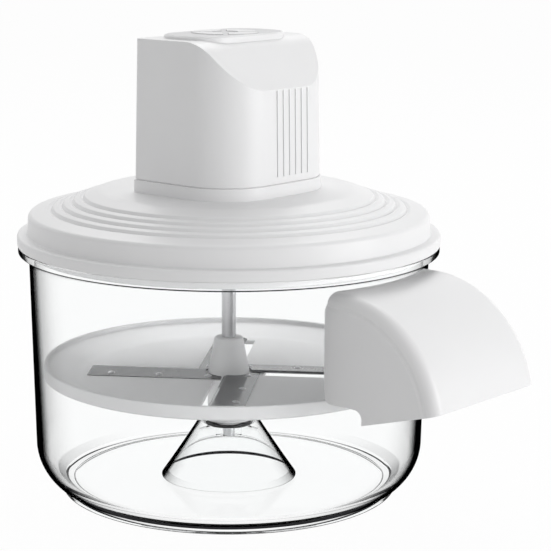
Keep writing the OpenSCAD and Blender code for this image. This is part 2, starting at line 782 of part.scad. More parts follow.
// White collar tray that carries the gears and the motor plate
module head_base() color(white_plastic) difference() {
    union() {
        translate([0, 0, lid_top]) linear_extrude(base_t) head_plan(collar_out);
        difference() {
            translate([0, 0, lid_top]) linear_extrude(collar_h) head_plan(collar_out);
            translate([0, 0, base_z]) linear_extrude(collar_h) head_plan(-head_t);
        }
        for (p = posts) translate([p[0], p[1], lid_top]) cylinder(r = post_r, h = plate_z - lid_top);
        translate([gear_c, 0, lid_top]) cylinder(r = axle_r + axle_wall, h = slow_z - lid_top - end_gap);
    }
    translate([0, 0, lid_top - 1]) cylinder(r = bush_r, h = far);
    translate([gear_c, 0, axle_seat]) cylinder(r = axle_r, h = far);
    for (p = posts) translate([p[0], p[1], plate_z - post_hole_l]) cylinder(r = pilot_r, h = far);
    for (p = housing_bosses) translate([p[0], p[1], lid_top - 1]) cylinder(r = screw_r + screw_gap, h = far);
}

// White motor head shell with vents, screw bosses, a panel opening and the inlet's cut-out
module motor_housing() color(white_plastic) difference() {
    union() {
        difference() {
            head_body(0);
            translate([0, 0, -eps]) head_body(head_t);
        }
        for (p = housing_bosses) translate([p[0], p[1], base_z]) cylinder(r = post_r, h = boss_h);
        intersection() {
            head_body(head_t / 2);
            for (p = housing_bosses)
                translate([p[0] + sign(p[0]) * (head_w / 4 - screw_r), p[1], 0])
                translate([0, 0, collar_z + (boss_h - rib_drop) / 2])
                cube([head_w / 2, rib_t, boss_h - rib_drop], center = true);
        }
    }
    for (p = housing_bosses) translate([p[0], p[1], base_z - 1]) cylinder(r = pilot_r, h = boss_hole_l + 1);
    for (i = [0 : vent_count - 1])
        translate([vent_x + (i - (vent_count - 1) / 2) * vent_pitch - vent_w / 2, -head_front - 1, vent_z])
        cube([vent_w, head_t + vent_lean, vent_h]);
    translate([0, pod_y, panel_z]) linear_extrude(far)
        round_rect(pod_w + 2 * panel_gap, pod_l + 2 * panel_gap, pod_r + panel_gap);
    translate([inlet_x, head_back - head_t - inlet_l / 2, inlet_z]) rotate([-90, 0, 0]) linear_extrude(far)
        square([inlet_w + 2 * inlet_gap, inlet_h + 2 * inlet_gap], center = true);
}

// Direction of each key from the middle of the ring
key_turns = [270, 90, 180, 0];

// Outline of a key between the bars, grown outwards
module key_outline(turn, grow) intersection() {
    difference() {
        circle(r = key_ring_r + grow);
        circle(r = key_ring_in - grow);
    }
    rotate(turn - 45) translate([key_bar / 2 - grow, key_bar / 2 - grow]) square(key_ring_r * 2);
}

// Raised pod that comes up through the head's top, with a flange inside and posts for the board
module control_panel() color(white_plastic) translate([0, pod_y, 0]) {
    difference() {
        union() {
            translate([0, 0, panel_z]) bevel_slab(pod_w, pod_l, pod_r, pod_z - panel_z, pod_bevel);
            translate([0, 0, panel_z]) linear_extrude(panel_flange_t) intersection() {
                round_rect(pod_w + 2 * panel_flange, pod_l + 2 * panel_flange, pod_r + panel_flange);
                translate([0, -panel_flange]) square([far, pod_l + 2 * panel_flange], center = true);
            }
        }
        translate([0, 0, panel_z - 1]) linear_extrude(skin_z - panel_z + 1)
            round_rect(pod_w - 2 * pod_t, pod_l - 2 * pod_t, pod_r - pod_t);
        translate([0, 0, pod_z - inlay_t]) linear_extrude(far)
            round_rect(pod_w - 2 * inlay_in, pod_l - 2 * inlay_in, pod_r - inlay_in);
        for (turn = key_turns) translate([0, 0, skin_z - 1]) linear_extrude(far) key_outline(turn, key_gap);
    }
    for (p = board_posts) translate([p[0], p[1] - pod_y, board_z + board_t]) difference() {
        cylinder(r = board_post_r, h = board_drop + eps);
        translate([0, 0, -1]) cylinder(r = board_screw_r + thread_gap, h = board_drop - 1);
    }
}

// Grey plate let into the top of the pod round the keys
module panel_plate() color(plate_grey)
    translate([0, pod_y, pod_z - inlay_t]) linear_extrude(inlay_t) difference() {
        edge = inlay_in + inlay_gap;
        round_rect(pod_w - 2 * edge, pod_l - 2 * edge, pod_r - edge);
        for (turn = key_turns) key_outline(turn, key_gap);
    }

// Ring-sector key with a flange under the pod's skin and a stem over its switch
module key(i) color(key_grey) translate([0, pod_y, 0]) {
    translate([0, 0, key_flange_z]) linear_extrude(key_top - key_flange_z) key_outline(key_turns[i], 0);
    translate([0, 0, key_flange_z]) linear_extrude(key_flange_h) key_outline(key_turns[i], key_flange);
    rotate(key_turns[i]) translate([key_mid, 0, key_foot])
        cylinder(r = key_stem_r, h = key_flange_z - key_foot + eps);
}

module control_board() color(board_green) difference() {
    translate([0, pod_y, board_z]) linear_extrude(board_t) round_rect(board_w, board_l, board_corner);
    for (p = board_posts) translate([p[0], p[1], board_z - 1])
        cylinder(r = board_screw_r + screw_gap, h = board_t + 2);
}

// One push switch under each key
module tact_switches() color(dark_plastic) for (turn = key_turns)
    translate([0, pod_y, board_z + board_t]) rotate(turn) translate([key_mid, 0, 0]) {
        translate([-switch_w / 2, -switch_w / 2, 0]) cube([switch_w, switch_w, switch_body]);
        translate([0, 0, switch_body - eps]) cylinder(r = switch_stem_r, h = switch_stem + eps);
    }

module board_screws() color(steel_grey) for (p = board_posts) translate([p[0], p[1], board_z])
    rotate([180, 0, 0]) screw(board_screw_r, board_screw_l, board_head_r, board_head_h);

// Flanged bush at the top of the lid's boss, under the output gear
module upper_bush() color(brass_yellow) translate([0, 0, slow_z - end_gap - upper_bush_l]) {
    ring(shaft_r + run_gap, bush_r, upper_bush_l);
    translate([0, 0, base_z - slow_z + end_gap + upper_bush_l])
        ring(shaft_r + run_gap, bush_r + bush_flange_out, slow_z - end_gap - base_z);
}

module lower_bush() color(brass_yellow) translate([0, 0, shaft_boss_z + seal_l])
    ring(shaft_r + run_gap, bush_r, lower_bush_l);

// Soft lip seal in the mouth of the boss
module shaft_seal() color(soft_grey) translate([0, 0, shaft_boss_z]) {
    ring(shaft_r + seal_lip, bush_r, seal_l);
    ring(shaft_r + run_gap, shaft_r + seal_lip + eps, seal_lip_h);
}

// Steel shaft from the output gear to the hexagonal end in the turntable's socket
module drive_shaft() color(steel_grey) difference() {
    union() {
        translate([0, 0, socket_floor + hex_end]) cylinder(r = hex_flats / sqrt(3), h = hex_l, $fn = 6);
        translate([0, 0, socket_z + hex_end / 2]) cylinder(r = shaft_r, h = shaft_top - socket_z - hex_end / 2);
    }
    translate([0, 0, clip_z]) ring(shaft_r - clip_groove, shaft_r + 1, clip_t);
}

// Open retaining ring under the lid's boss
module shaft_clip() color(steel_grey) translate([0, 0, clip_z]) difference() {
    ring(shaft_r - clip_groove, shaft_r + clip_out, clip_t);
    translate([0, -clip_mouth / 2, -1]) cube([2 * shaft_r, clip_mouth, clip_t + 2]);
}

module output_gear() color(gear_cream) translate([0, 0, slow_z]) spur_gear(wheel_teeth, slow_w, shaft_r);

module idler_axle() color(steel_grey) translate([gear_c, 0, axle_seat])
    cylinder(r = axle_r, h = motor_z - axle_seat);

// Compound idler: slow pinion below and fast wheel above, on one hub
module idler_gear() color(gear_cream) translate([gear_c, 0, slow_z]) difference() {
    union() {
        rotate(180 / pinion_teeth) linear_extrude(slow_w) gear_outline(pinion_teeth);
        translate([0, 0, fast_z - slow_z]) rotate(180 / wheel_teeth) linear_extrude(fast_w)
            gear_outline(wheel_teeth);
        cylinder(r = pinion_pitch - tooth_root - hub_step, h = plate_z - end_gap - slow_z);
    }
    translate([0, 0, -1]) cylinder(r = axle_r + run_gap, h = plate_z - slow_z + 2);
}

module motor_plate() color(steel_grey) difference() {
    translate([0, 0, plate_z]) linear_extrude(plate_t)
        round_rect(2 * (post_x + plate_margin), 2 * (post_y + plate_margin), plate_margin);
    translate([0, 0, plate_z - 1]) cylinder(r = rotor_r + bearing_hole, h = plate_t + 2);
    translate([gear_c, 0, plate_z - 1]) cylinder(r = axle_r, h = plate_t + 2);
    for (p = posts) translate([p[0], p[1], plate_z - 1]) cylinder(r = screw_r + screw_gap, h = plate_t + 2);
    for (side = [-1, 1]) translate([0, side * motor_bolt_c, plate_z - 1])
        cylinder(r = screw_r + screw_gap, h = plate_t + 2);
}

// Steel can of the motor, closed below round the shaft's bearing
module motor_can() color(steel_grey) difference() {
    translate([0, 0, motor_z]) cylinder(r = motor_r, h = motor_l);
    translate([0, 0, motor_z + can_floor]) cylinder(r = motor_r - can_t, h = motor_l);
    translate([0, 0, motor_z - 1]) cylinder(r = rotor_r + run_gap, h = can_floor + 2);
    for (side = [-1, 1]) translate([0, side * motor_bolt_c, motor_z - 1])
        cylinder(r = pilot_r, h = can_floor + 2);
}

// Two curved magnets on the can's wall
module motor_magnets() color(magnet_grey) translate([0, 0, motor_z + can_floor + magnet_in]) difference() {
    ring(motor_r - can_t - magnet_t, motor_r - can_t, motor_l - can_floor - magnet_in - magnet_end);
    translate([-far / 2, -magnet_apart / 2, -1]) cube([far, magnet_apart, motor_l]);
}

// Plastic end cap that holds the brushes and the upper bearing
module motor_end_cap() color(dark_plastic) translate([0, 0, motor_top]) difference() {
    union() {
        cylinder(r = motor_r, h = cap_h - cap_boss_h);
        translate([0, 0, cap_h - cap_boss_h - eps]) cylinder(r = cap_boss_r, h = cap_boss_h + eps);
        translate([0, 0, -cap_spigot]) ring(motor_r - can_t - cap_spigot_t, motor_r - can_t, cap_spigot + eps);
    }
    translate([0, 0, -1]) cylinder(r = rotor_r + run_gap, h = cap_h + 2);
}

module rotor_shaft() color(steel_grey) translate([0, 0, rotor_z])
    cylinder(r = rotor_r, h = rotor_top - rotor_z);

// Slotted armature on the rotor's shaft
module armature() color(magnet_grey) translate([0, 0, motor_z + can_floor + armature_in]) difference() {
    arm_r = motor_r - can_t - magnet_t - air_gap;
    arm_l = motor_l - can_floor - armature_in - armature_end;
    ring(rotor_r, arm_r, arm_l);
    for (k = [0 : armature_slots - 1]) rotate(360 / armature_slots * k)
        translate([arm_r - slot_l, -slot_w / 2, -1]) cube([slot_l + 1, slot_w, arm_l + 2]);
}

module commutator() color(brass_yellow) translate([0, 0, motor_top - commutator_end - commutator_l])
    ring(rotor_r, commutator_r, commutator_l);

module pinion() color(steel_grey) translate([0, 0, fast_z]) spur_gear(pinion_teeth, fast_w, rotor_r);

// Figure-eight mains inlet, its mouth in the rear wall
module power_inlet() color(dark_plastic) translate([inlet_x, inlet_y, inlet_z]) rotate([-90, 0, 0])
    difference() {
    union() {
        translate([0, 0, -inlet_l]) linear_extrude(inlet_l) square([inlet_w, inlet_h], center = true);
        translate([0, 0, -head_t - inlet_flange_in]) linear_extrude(inlet_flange_t)
            square([inlet_w + 2 * inlet_flange, inlet_h + 2 * inlet_flange], center = true);
    }
    translate([0, 0, -inlet_depth]) linear_extrude(far) {
        for (side = [-1, 1]) translate([side * inlet_pitch / 2, 0]) circle(r = inlet_lobe_r);
        square([inlet_pitch, 2 * (inlet_lobe_r - inlet_waist)], center = true);
    }
}

module inlet_pins() color(steel_grey) for (side = [-1, 1])
    translate([inlet_x + side * inlet_pitch / 2, inlet_y - inlet_depth, inlet_z]) rotate([-90, 0, 0])
    cylinder(r = inlet_pin_r, h = inlet_depth - inlet_pin_in);

// Screws up through lid and collar tray into the head's bosses
module housing_screws() color(steel_grey) for (p = housing_bosses)
    translate([p[0], p[1], lid_top - lid_t]) rotate([180, 0, 0])
    screw(shank_r, housing_screw_l, screw_head_r, screw_head_h);

module plate_screws() color(steel_grey) for (p = posts) translate([p[0], p[1], motor_z])
    screw(shank_r, plate_screw_l, screw_head_r, screw_head_h);

module motor_screws() color(steel_grey) for (side = [-1, 1]) translate([0, side * motor_bolt_c, plate_z])
    rotate([180, 0, 0]) screw(shank_r, plate_t + can_floor - eps, screw_head_r, screw_head_h);

bowl();
centre_cone();
spindle_pin();
thrust_washer();
chute_hood();
blade_disc();
hub_bush();
blade(0);  // blade_1
blade(1);  // blade_2
blade(2);  // blade_3
blade(3);  // blade_4
blade_screws();
lid();
lid_seal();
head_base();
motor_housing();
control_panel();
panel_plate();
key(0);  // start_key
key(1);  // stop_key
key(2);  // slow_key
key(3);  // fast_key
control_board();
tact_switches();
board_screws();
upper_bush();
lower_bush();
shaft_seal();
drive_shaft();
shaft_clip();
output_gear();
idler_axle();
idler_gear();
motor_plate();
motor_can();
motor_magnets();
motor_end_cap();
rotor_shaft();
armature();
commutator();
pinion();
power_inlet();
inlet_pins();
housing_screws();
plate_screws();
motor_screws();
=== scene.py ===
# %% [markdown]
# A bowl peeler with a motor head
#
# The machine is a clear bowl with a bladed turntable, a white lid that carries the motor head, and a hooded
# outlet in the bowl's side. Its solids are already packed, with every size and place. This lesson rebuilds
# the pieces that show, gives all of them a finish, and sets up a plain white studio around them.

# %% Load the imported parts
import json
import math

import bmesh
import bpy
from mathutils import Matrix, Vector


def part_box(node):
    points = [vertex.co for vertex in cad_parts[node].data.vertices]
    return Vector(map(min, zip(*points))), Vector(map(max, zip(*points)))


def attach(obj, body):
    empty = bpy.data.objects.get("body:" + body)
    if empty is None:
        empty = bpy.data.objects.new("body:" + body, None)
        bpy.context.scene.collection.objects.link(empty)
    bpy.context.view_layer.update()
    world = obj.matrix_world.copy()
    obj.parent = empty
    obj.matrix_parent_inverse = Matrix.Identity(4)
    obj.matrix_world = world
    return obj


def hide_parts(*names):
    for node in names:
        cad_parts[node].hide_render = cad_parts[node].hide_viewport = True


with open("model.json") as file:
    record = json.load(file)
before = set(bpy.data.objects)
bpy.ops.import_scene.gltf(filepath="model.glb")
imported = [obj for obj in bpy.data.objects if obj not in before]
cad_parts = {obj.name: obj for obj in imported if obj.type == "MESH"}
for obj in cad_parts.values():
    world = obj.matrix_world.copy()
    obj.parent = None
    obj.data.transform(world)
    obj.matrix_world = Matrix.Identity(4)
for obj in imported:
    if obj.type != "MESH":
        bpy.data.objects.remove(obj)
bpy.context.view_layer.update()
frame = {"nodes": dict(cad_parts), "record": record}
scene = bpy.context.scene
MM = 0.001

# %% [markdown]
# The camera
#
# A product picture is usually taken from some way off with a long lens, which keeps upright lines upright.
# The rings of the bowl, turntable and lid are ellipses in the picture, and their heights and widths fix the
# lens, the distance and the pitch. The object stands left of the middle, which the lens shift takes up.

# %% Set the camera
camera_place = Vector((-0.954, -0.874, 0.414))
camera_heading = math.radians(-47.47)
camera_pitch = math.radians(11.54)
camera_data = bpy.data.cameras.new("picture_camera")
camera_data.lens = 122.6
camera_data.sensor_width = 36
camera_data.shift_x = 0.0868
camera = bpy.data.objects.new("picture_camera", camera_data)
camera.location = camera_place
camera.rotation_euler = (math.pi / 2 - camera_pitch, 0, camera_heading)
scene.collection.objects.link(camera)
scene.camera = camera
scene.view_settings.view_transform = "Standard"
print("camera stands", round(camera_place.length, 3), "m from the bowl's axis at table height")

# %% [markdown]
# Writing shader sums as plain sums
#
# A node tree is easier to read as an expression. This class holds one socket. Adding or multiplying two
# wires puts a Math node in the tree, and every other node comes from the one method called node.


# %% A wire in a node tree
class Wire:
    """One socket of a node tree, which can be used in sums."""

    def __init__(self, tree, socket=None):
        self.tree = tree
        self.socket = socket

    def node(self, kind, settings=None, inputs=None, output=0):
        """Adds a node with its settings and inputs, and returns one of its outputs."""
        made = self.tree.nodes.new(kind)
        for name, value in (settings or {}).items():
            setattr(made, name, value)
        for key, value in (inputs or {}).items():
            if isinstance(value, Wire):
                self.tree.links.new(value.socket, made.inputs[key])
            else:
                made.inputs[key].default_value = value
        return Wire(self.tree, made.outputs[output] if made.outputs else None)

    def math(self, operation, first, second):
        return self.node("ShaderNodeMath", {"operation": operation}, {0: first, 1: second})

    def __add__(self, other):
        return self.math("ADD", self, other)

    __radd__ = __add__

    def __sub__(self, other):
        return self.math("SUBTRACT", self, other)

    def __rsub__(self, other):
        return self.math("SUBTRACT", other, self)

    def __mul__(self, other):
        return self.math("MULTIPLY", self, other)

    __rmul__ = __mul__

    def to(self, node, socket):
        """Joins this wire to a socket of a node that is already there."""
        self.tree.links.new(self.socket, node.inputs[socket])


print("wires are ready")

# %% [markdown]
# Blends and masks
#
# Two steps come back in the finishes: a colour between two others, and a mask that rises smoothly. A colour
# goes through a Mix node, because a Math node would turn it grey. A mask comes from Map Range, which is
# softer at both ends than a sum with a clamp.

# %% Blends and masks
MIX_A, MIX_B, MIX_COLOUR = 6, 7, 2


def blend_colours(wire, share, first, second):
    """A colour between two others, by a share from 0 to 1."""
    inputs = {0: share, MIX_A: first, MIX_B: second}
    return wire.node("ShaderNodeMix", {"data_type": "RGBA"}, inputs, MIX_COLOUR)


def ease(wire, low, high):
    """A mask that rises smoothly from 0 at low to 1 at high."""
    inputs = {"Value": wire, "From Min": low, "From Max": high}
    return wire.node("ShaderNodeMapRange", {"interpolation_type": "SMOOTHSTEP"}, inputs)


print("colour blends and masks are ready")

# %% [markdown]
# Studio light
#
# Product pictures on white have a bright sweep behind and below the object. A room that is white to every
# ray would wash out the white plastic. So the world shows plain white to the camera, and to rays that
# mirrors and clear plastic send on, but it lights the object only at a soft grey level.

# %% World
AMBIENT = 0.47
world = bpy.data.worlds.new("white_studio")
scene.world = world
world.use_nodes = True
world.node_tree.nodes.clear()
sky = Wire(world.node_tree)


def seen_rays(wire):
    """1 for rays that carry the picture of the background: straight, mirrored or through something clear."""
    names = ("Is Camera Ray", "Is Glossy Ray", "Is Transmission Ray")
    camera_ray, glossy_ray, clear_ray = (wire.node("ShaderNodeLightPath", output=name) for name in names)
    return camera_ray.math("MINIMUM", camera_ray + glossy_ray + clear_ray, 1.0)


soft_light = sky.node("ShaderNodeBackground", inputs={"Color": (1, 1, 1, 1), "Strength": AMBIENT})
white_light = sky.node("ShaderNodeBackground", inputs={"Color": (1, 1, 1, 1), "Strength": 1.0})
backdrop = sky.node("ShaderNodeMixShader", inputs={0: seen_rays(sky), 1: soft_light, 2: white_light})
sky.node("ShaderNodeOutputWorld")
backdrop.to(world.node_tree.nodes["World Output"], "Surface")
print("world: ambient level", AMBIENT)

# %% [markdown]
# The floor
#
# The floor is one wide plane with the same trick. It glows nearly white where the picture looks at it, and
# to all other rays it is plain paint, so that it keeps the object's soft shadow. A shadow catcher would
# need a compositor, which this scene does without.

# %% Floor
FLOOR_SIZE = 60
FLOOR_DROP = 0.0004
FLOOR_WHITE = 0.97
FLOOR_PAINT = (0.86, 0.86, 0.86, 1)
floor_bm = bmesh.new()
bmesh.ops.create_grid(floor_bm, x_segments=1, y_segments=1, size=FLOOR_SIZE / 2)
bmesh.ops.translate(floor_bm, verts=floor_bm.verts, vec=(0, 0, -FLOOR_DROP))
floor_mesh = bpy.data.meshes.new("floor")
floor_bm.to_mesh(floor_mesh)
floor_bm.free()
floor = bpy.data.objects.new("floor", floor_mesh)
scene.collection.objects.link(floor)

floor_paint = bpy.data.materials.new("floor_paint")
floor_paint.use_nodes = True
floor_paint.node_tree.nodes.clear()
ground = Wire(floor_paint.node_tree)
paint = ground.node("ShaderNodeBsdfDiffuse", inputs={"Color": FLOOR_PAINT})
glow = ground.node("ShaderNodeEmission", inputs={"Strength": 1.0})
floor_mix = ground.node("ShaderNodeMixShader", inputs={0: seen_rays(ground) * FLOOR_WHITE, 1: paint, 2: glow})
ground.node("ShaderNodeOutputMaterial")
floor_mix.to(floor_paint.node_tree.nodes["Material Output"], "Surface")
floor_mesh.materials.append(floor_paint)
print("floor:", FLOOR_SIZE, "m wide")

# %% [markdown]
# The lamps
#
# Three large soft lamps give the faces their shades: one from the outlet's side, one from behind and above,
# and a weak one from the left. A sun lamp would cut hard shadows. The power follows from the distance, so
# that a level of 1 shows a colour as it is written. A table keeps each lamp's direction, distance, size and
# level.

# %% Lamps
LAMP_AIM = 0.17
LAMPS = {
    "side_lamp": ((0.35, -1.0, 0.12), 2.2, 1.4, 0.62),
    "back_lamp": ((0.4, 0.42, 0.8), 2.4, 1.8, 0.44),
    "left_lamp": ((-1.0, -0.1, 0.0), 2.4, 1.6, 0.12),
}


def soft_lamp(name, direction, distance, size, level):
    """A square lamp that gives a face turned to it this much light, where 1 shows a colour as written."""
    lamp_data = bpy.data.lights.new(name, "AREA")
    lamp_data.size = size
    lamp_data.energy = level * math.pi ** 2 * distance ** 2
    lamp = bpy.data.objects.new(name, lamp_data)
    aim = Vector((0, 0, LAMP_AIM))
    lamp.location = aim + Vector(direction).normalized() * distance
    lamp.rotation_euler = (lamp.location - aim).to_track_quat("Z", "Y").to_euler()
    scene.collection.objects.link(lamp)


for lamp_name, lamp_setting in LAMPS.items():
    soft_lamp(lamp_name, *lamp_setting)
print("lamps:", ", ".join(LAMPS))

# %% [markdown]
# White moulded plastic
#
# The lid, head, hood and turntable are satin white plastic. It has a very fine moulded grain, which softens
# its highlights, and a slight unevenness of tone over several centimetres. A picture of plastic would need
# a UV map on every piece. Noise on Object coordinates needs none, and gives the grain its real size
# everywhere. The same recipe with other colours makes the keys, the grey inlay, the seals and the black
# washer. The tray's darker copy of the white is painted shade, and so is the washer's black.


# %% Start a finish
def new_finish(name, constants):
    """A material with a Principled shader. Returns it, a wire in its tree, and the shader."""
    material = bpy.data.materials.new(name)
    material.use_nodes = True
    shader = material.node_tree.nodes["Principled BSDF"]
    for socket, value in constants.items():
        shader.inputs[socket].default_value = value
    return material, Wire(material.node_tree), shader


def cloud(wire, scale, detail=2.0):
    """Noise in Object coordinates, about 1 / scale metres from one patch to the next."""
    coords = wire.node("ShaderNodeTexCoord", output="Object")
    return wire.node("ShaderNodeTexNoise", inputs={"Vector": coords, "Scale": scale, "Detail": detail})


def grain(wire, height, strength, depth):
    """A bump from a height wire, depth in metres."""
    return wire.node("ShaderNodeBump", inputs={"Height": height, "Strength": strength, "Distance": depth})


PLASTIC_CLOUD, PLASTIC_SHEEN, PLASTIC_GRAIN = 16.0, 0.08, 0.00005


def moulded(name, dark, light, roughness, grain_scale=2600.0, grain_strength=0.12):
    """Moulded plastic: an even colour with a faint cloudiness and a fine grain."""
    material, wire, shader = new_finish(name, {"Specular IOR Level": 0.45})
    tone = cloud(wire, PLASTIC_CLOUD)
    blend_colours(wire, tone, (*dark, 1), (*light, 1)).to(shader, "Base Color")
    (roughness + PLASTIC_SHEEN * tone).to(shader, "Roughness")
    grain(wire, cloud(wire, grain_scale), grain_strength, PLASTIC_GRAIN).to(shader, "Normal")
    return material


finishes = {}
finishes["white_plastic"] = moulded("satin_white", (0.80, 0.80, 0.805), (0.84, 0.84, 0.845), 0.34)
# painted shade: a darker copy of the satin white for the tray, which sits in shade inside the bowl
tray_white_painted_shade = moulded("tray_white_painted_shade", (0.60, 0.60, 0.605), (0.64, 0.64, 0.645), 0.4)
finishes["key_plastic"] = moulded("key_white", (0.74, 0.74, 0.745), (0.78, 0.78, 0.785), 0.3)
finishes["panel_grey"] = moulded("inlay_grey", (0.57, 0.57, 0.58), (0.62, 0.62, 0.63), 0.38)
finishes["dark_plastic"] = moulded("inlet_black", (0.018, 0.018, 0.02), (0.03, 0.03, 0.032), 0.42, 900.0, 0.2)
finishes["gear_plastic"] = moulded("gear_cream", (0.70, 0.66, 0.54), (0.76, 0.72, 0.60), 0.4)
finishes["soft_seal"] = moulded("seal_silicone", (0.48, 0.49, 0.50), (0.55, 0.56, 0.57), 0.55, 1200.0, 0.1)
# painted shade: black for the thrust washer, to draw the shade line under the hub
washer_painted_shade = moulded("washer_painted_shade", (0.02, 0.02, 0.021), (0.035, 0.035, 0.036), 0.5, 1200.0, 0.1)
print("plastics:", ", ".join(finishes))

# %% [markdown]
# Clear plastic
#
# A clear wall looks black along its outline on a white background, because there it sends on light from far
# off to the side. A studio darkens that side with black cards. Here that dark outline is painted shade: the
# plastic is mixed towards black where it is met at a flat angle, which Layer Weight measures, a weak painted
# haze first, then a painted black line. The flat floor of the bowl is left out, because it is met at a flat
# angle all over and stays clear in a real bowl. The refraction is set low, because that came closer to the
# picture than the plastic's own did. An attribute on each piece lets places take the painted shade sooner or
# later.

# %% Clear plastic
FLAT_FROM, FLAT_TO = 0.97, 0.995
HAZE, HAZE_FROM, HAZE_TO = 0.26, 0.45, 0.76
LINE_FROM, LINE_TO = 0.69, 0.83
clear, wire, shader = new_finish("clear_acrylic", {
    "Base Color": (0.985, 0.99, 0.99, 1), "Transmission Weight": 1.0, "Roughness": 0.0, "IOR": 1.08,
    "Specular Tint": (0.5, 0.5, 0.5, 1)})
facing = wire.node("ShaderNodeLayerWeight", inputs={"Blend": 0.5}, output="Facing")
normal = wire.node("ShaderNodeNewGeometry", output="Normal")
upright = wire.node("ShaderNodeSeparateXYZ", inputs={"Vector": normal}, output="Z")
flat = ease(upright * upright, FLAT_FROM, FLAT_TO)
# painted shade: a stored shift for each point makes the painted dark outline start sooner or later
edge = wire.node("ShaderNodeAttribute", {"attribute_name": "edge"}, output="Fac")
grazing = facing + edge
painted_haze = HAZE * ease(grazing, HAZE_FROM, HAZE_TO)
painted_black_line = (1 - HAZE) * ease(grazing, LINE_FROM, LINE_TO)
rim_shade = (painted_haze + painted_black_line) * (1 - flat)
# painted shade: a near-black clear shader is mixed in at flat angles as the painted dark outline
painted_dark_outline = wire.node("ShaderNodeBsdfPrincipled", inputs={
    "Base Color": (0.0006, 0.0006, 0.0007, 1), "Transmission Weight": 1.0, "Roughness": 0.0, "IOR": 1.0})
clear_body = Wire(wire.tree, shader.outputs[0])
outlined = wire.node("ShaderNodeMixShader", inputs={0: rim_shade, 1: clear_body, 2: painted_dark_outline})
outlined.to(clear.node_tree.nodes["Material Output"], "Surface")
finishes["clear_plastic"] = clear
print("clear plastic: outline shade from Layer Weight")

# %% [markdown]
# Metals and electronics
#
# Steel sheet is ground along one direction, turned steel and brass have fine rings, and the circuit board
# has copper tracks under its green coat. Grooves that fine can't be modelled. Noise that is stretched along
# one axis looks the same, and these pieces are small or half hidden, so a few nodes each are enough.

# %% Metals, board and magnets
STREAK_SHEEN, STREAK_GRAIN = 0.12, 0.00003


def metal(name, dark, light, roughness, streak_scale):
    """Metal with fine streaks. The scale has one number for each axis of the streaks."""
    material, wire, shader = new_finish(name, {"Metallic": 1.0})
    coords = wire.node("ShaderNodeTexCoord", output="Object")
    stretched = wire.node("ShaderNodeMapping", inputs={"Vector": coords, "Scale": streak_scale})
    streak = wire.node("ShaderNodeTexNoise", inputs={"Vector": stretched, "Scale": 1.0, "Detail": 3.0})
    blend_colours(wire, streak, (*dark, 1), (*light, 1)).to(shader, "Base Color")
    (roughness + STREAK_SHEEN * streak).to(shader, "Roughness")
    grain(wire, streak, 0.1, STREAK_GRAIN).to(shader, "Normal")
    return material


# painted dark reflection: the blade steel is kept nearly black, standing in for dark surroundings mirrored in
# the blades
finishes["blade_steel"] = metal("ground_steel_painted_dark", (0.10, 0.102, 0.105), (0.17, 0.172, 0.175), 0.1,
                                (900, 900, 300))
finishes["steel"] = metal("turned_steel", (0.50, 0.50, 0.51), (0.62, 0.62, 0.63), 0.24, (300, 300, 2500))
finishes["brass"] = metal("turned_brass", (0.62, 0.46, 0.18), (0.74, 0.57, 0.25), 0.26, (300, 300, 2500))
finishes["magnet_iron"] = metal("sintered_iron", (0.16, 0.16, 0.17), (0.24, 0.24, 0.25), 0.45,
                                (1200, 1200, 1200))

board, wire, shader = new_finish("board_green", {"Roughness": 0.35})
coords = wire.node("ShaderNodeTexCoord", output="Object")
track_inputs = {"Vector": coords, "Scale": 320.0, "Mortar Size": 0.06}
tracks = wire.node("ShaderNodeTexBrick", {"offset": 0.3}, track_inputs, "Fac")
blend_colours(wire, tracks, (0.02, 0.10, 0.045, 1), (0.06, 0.20, 0.09, 1)).to(shader, "Base Color")
grain(wire, tracks, 0.3, 0.00004).to(shader, "Normal")
finishes["board_green"] = board
print("finishes:", len(finishes))

# %% [markdown]
# Finishes on every imported part
#
# Each imported part keeps its shape unless a new piece takes its place later, and it gets the finish that the
# record names for it. Only the thrust washer differs: under the hub the picture shows a dark line of shade,
# so the washer is painted black to draw it.

# %% Give every imported part its finish
slot_of = {row["node"]: row["material_slot"] for row in frame["record"]["subparts"]}
for node_name, node_object in frame["nodes"].items():
    node_object.data.materials.clear()
    node_object.data.materials.append(finishes[slot_of[node_name]])
# painted shade: the washer is made black in place of the shade line under the hub
frame["nodes"]["thrust_washer"].data.materials[0] = washer_painted_shade
print("parts with a finish:", len(slot_of))

# %% [markdown]
# Tools for turned shapes
#
# The bowl, cone, lid and turntable are round, so each is a half outline spun about the axis, as on a lathe.
# An outline is a line of corners in millimetres, and a corner may carry a rounding, which a vertex bevel
# makes.


# %% Spans, arcs and bends
def span(node):
    """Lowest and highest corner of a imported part, in millimetres."""
    low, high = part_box(node)
    return low / MM, high / MM


def arc(centre, radius, start, end, steps):
    """Corners along a round stretch, from one angle to another in degrees."""
    angles = [math.radians(start + (end - start) * i / steps) for i in range(steps + 1)]
    return [(centre[0] + radius * math.cos(a), centre[1] + radius * math.sin(a)) for a in angles]


def bend(start, pull, end, steps):
    """Corners along a curve that leaves start and reaches end heading for the pull point."""
    corners = []
    for i in range(steps + 1):
        t = i / steps
        weights = ((1 - t) ** 2, 2 * t * (1 - t), t ** 2)
        corners.append(tuple(sum(w * p[k] for w, p in zip(weights, (start, pull, end))) for k in (0, 1)))
    return corners


print("spans, arcs and bends are ready")

# %% [markdown]
# From an outline to a solid
#
# The corners become a chain of edges, the roundings are bevelled, and one turn about the axis makes the
# solid. A Screw modifier could turn the chain too. The spin operator gives a mesh at once, which the next
# step can cut.


# %% Outlines and spins
def round_off(bm, verts, radius, segments):
    """Rounds corners of an outline."""
    bmesh.ops.bevel(bm, geom=verts, offset=radius, offset_type="OFFSET", segments=segments, profile=0.5,
                    affect="VERTICES", material=-1, clamp_overlap=True)


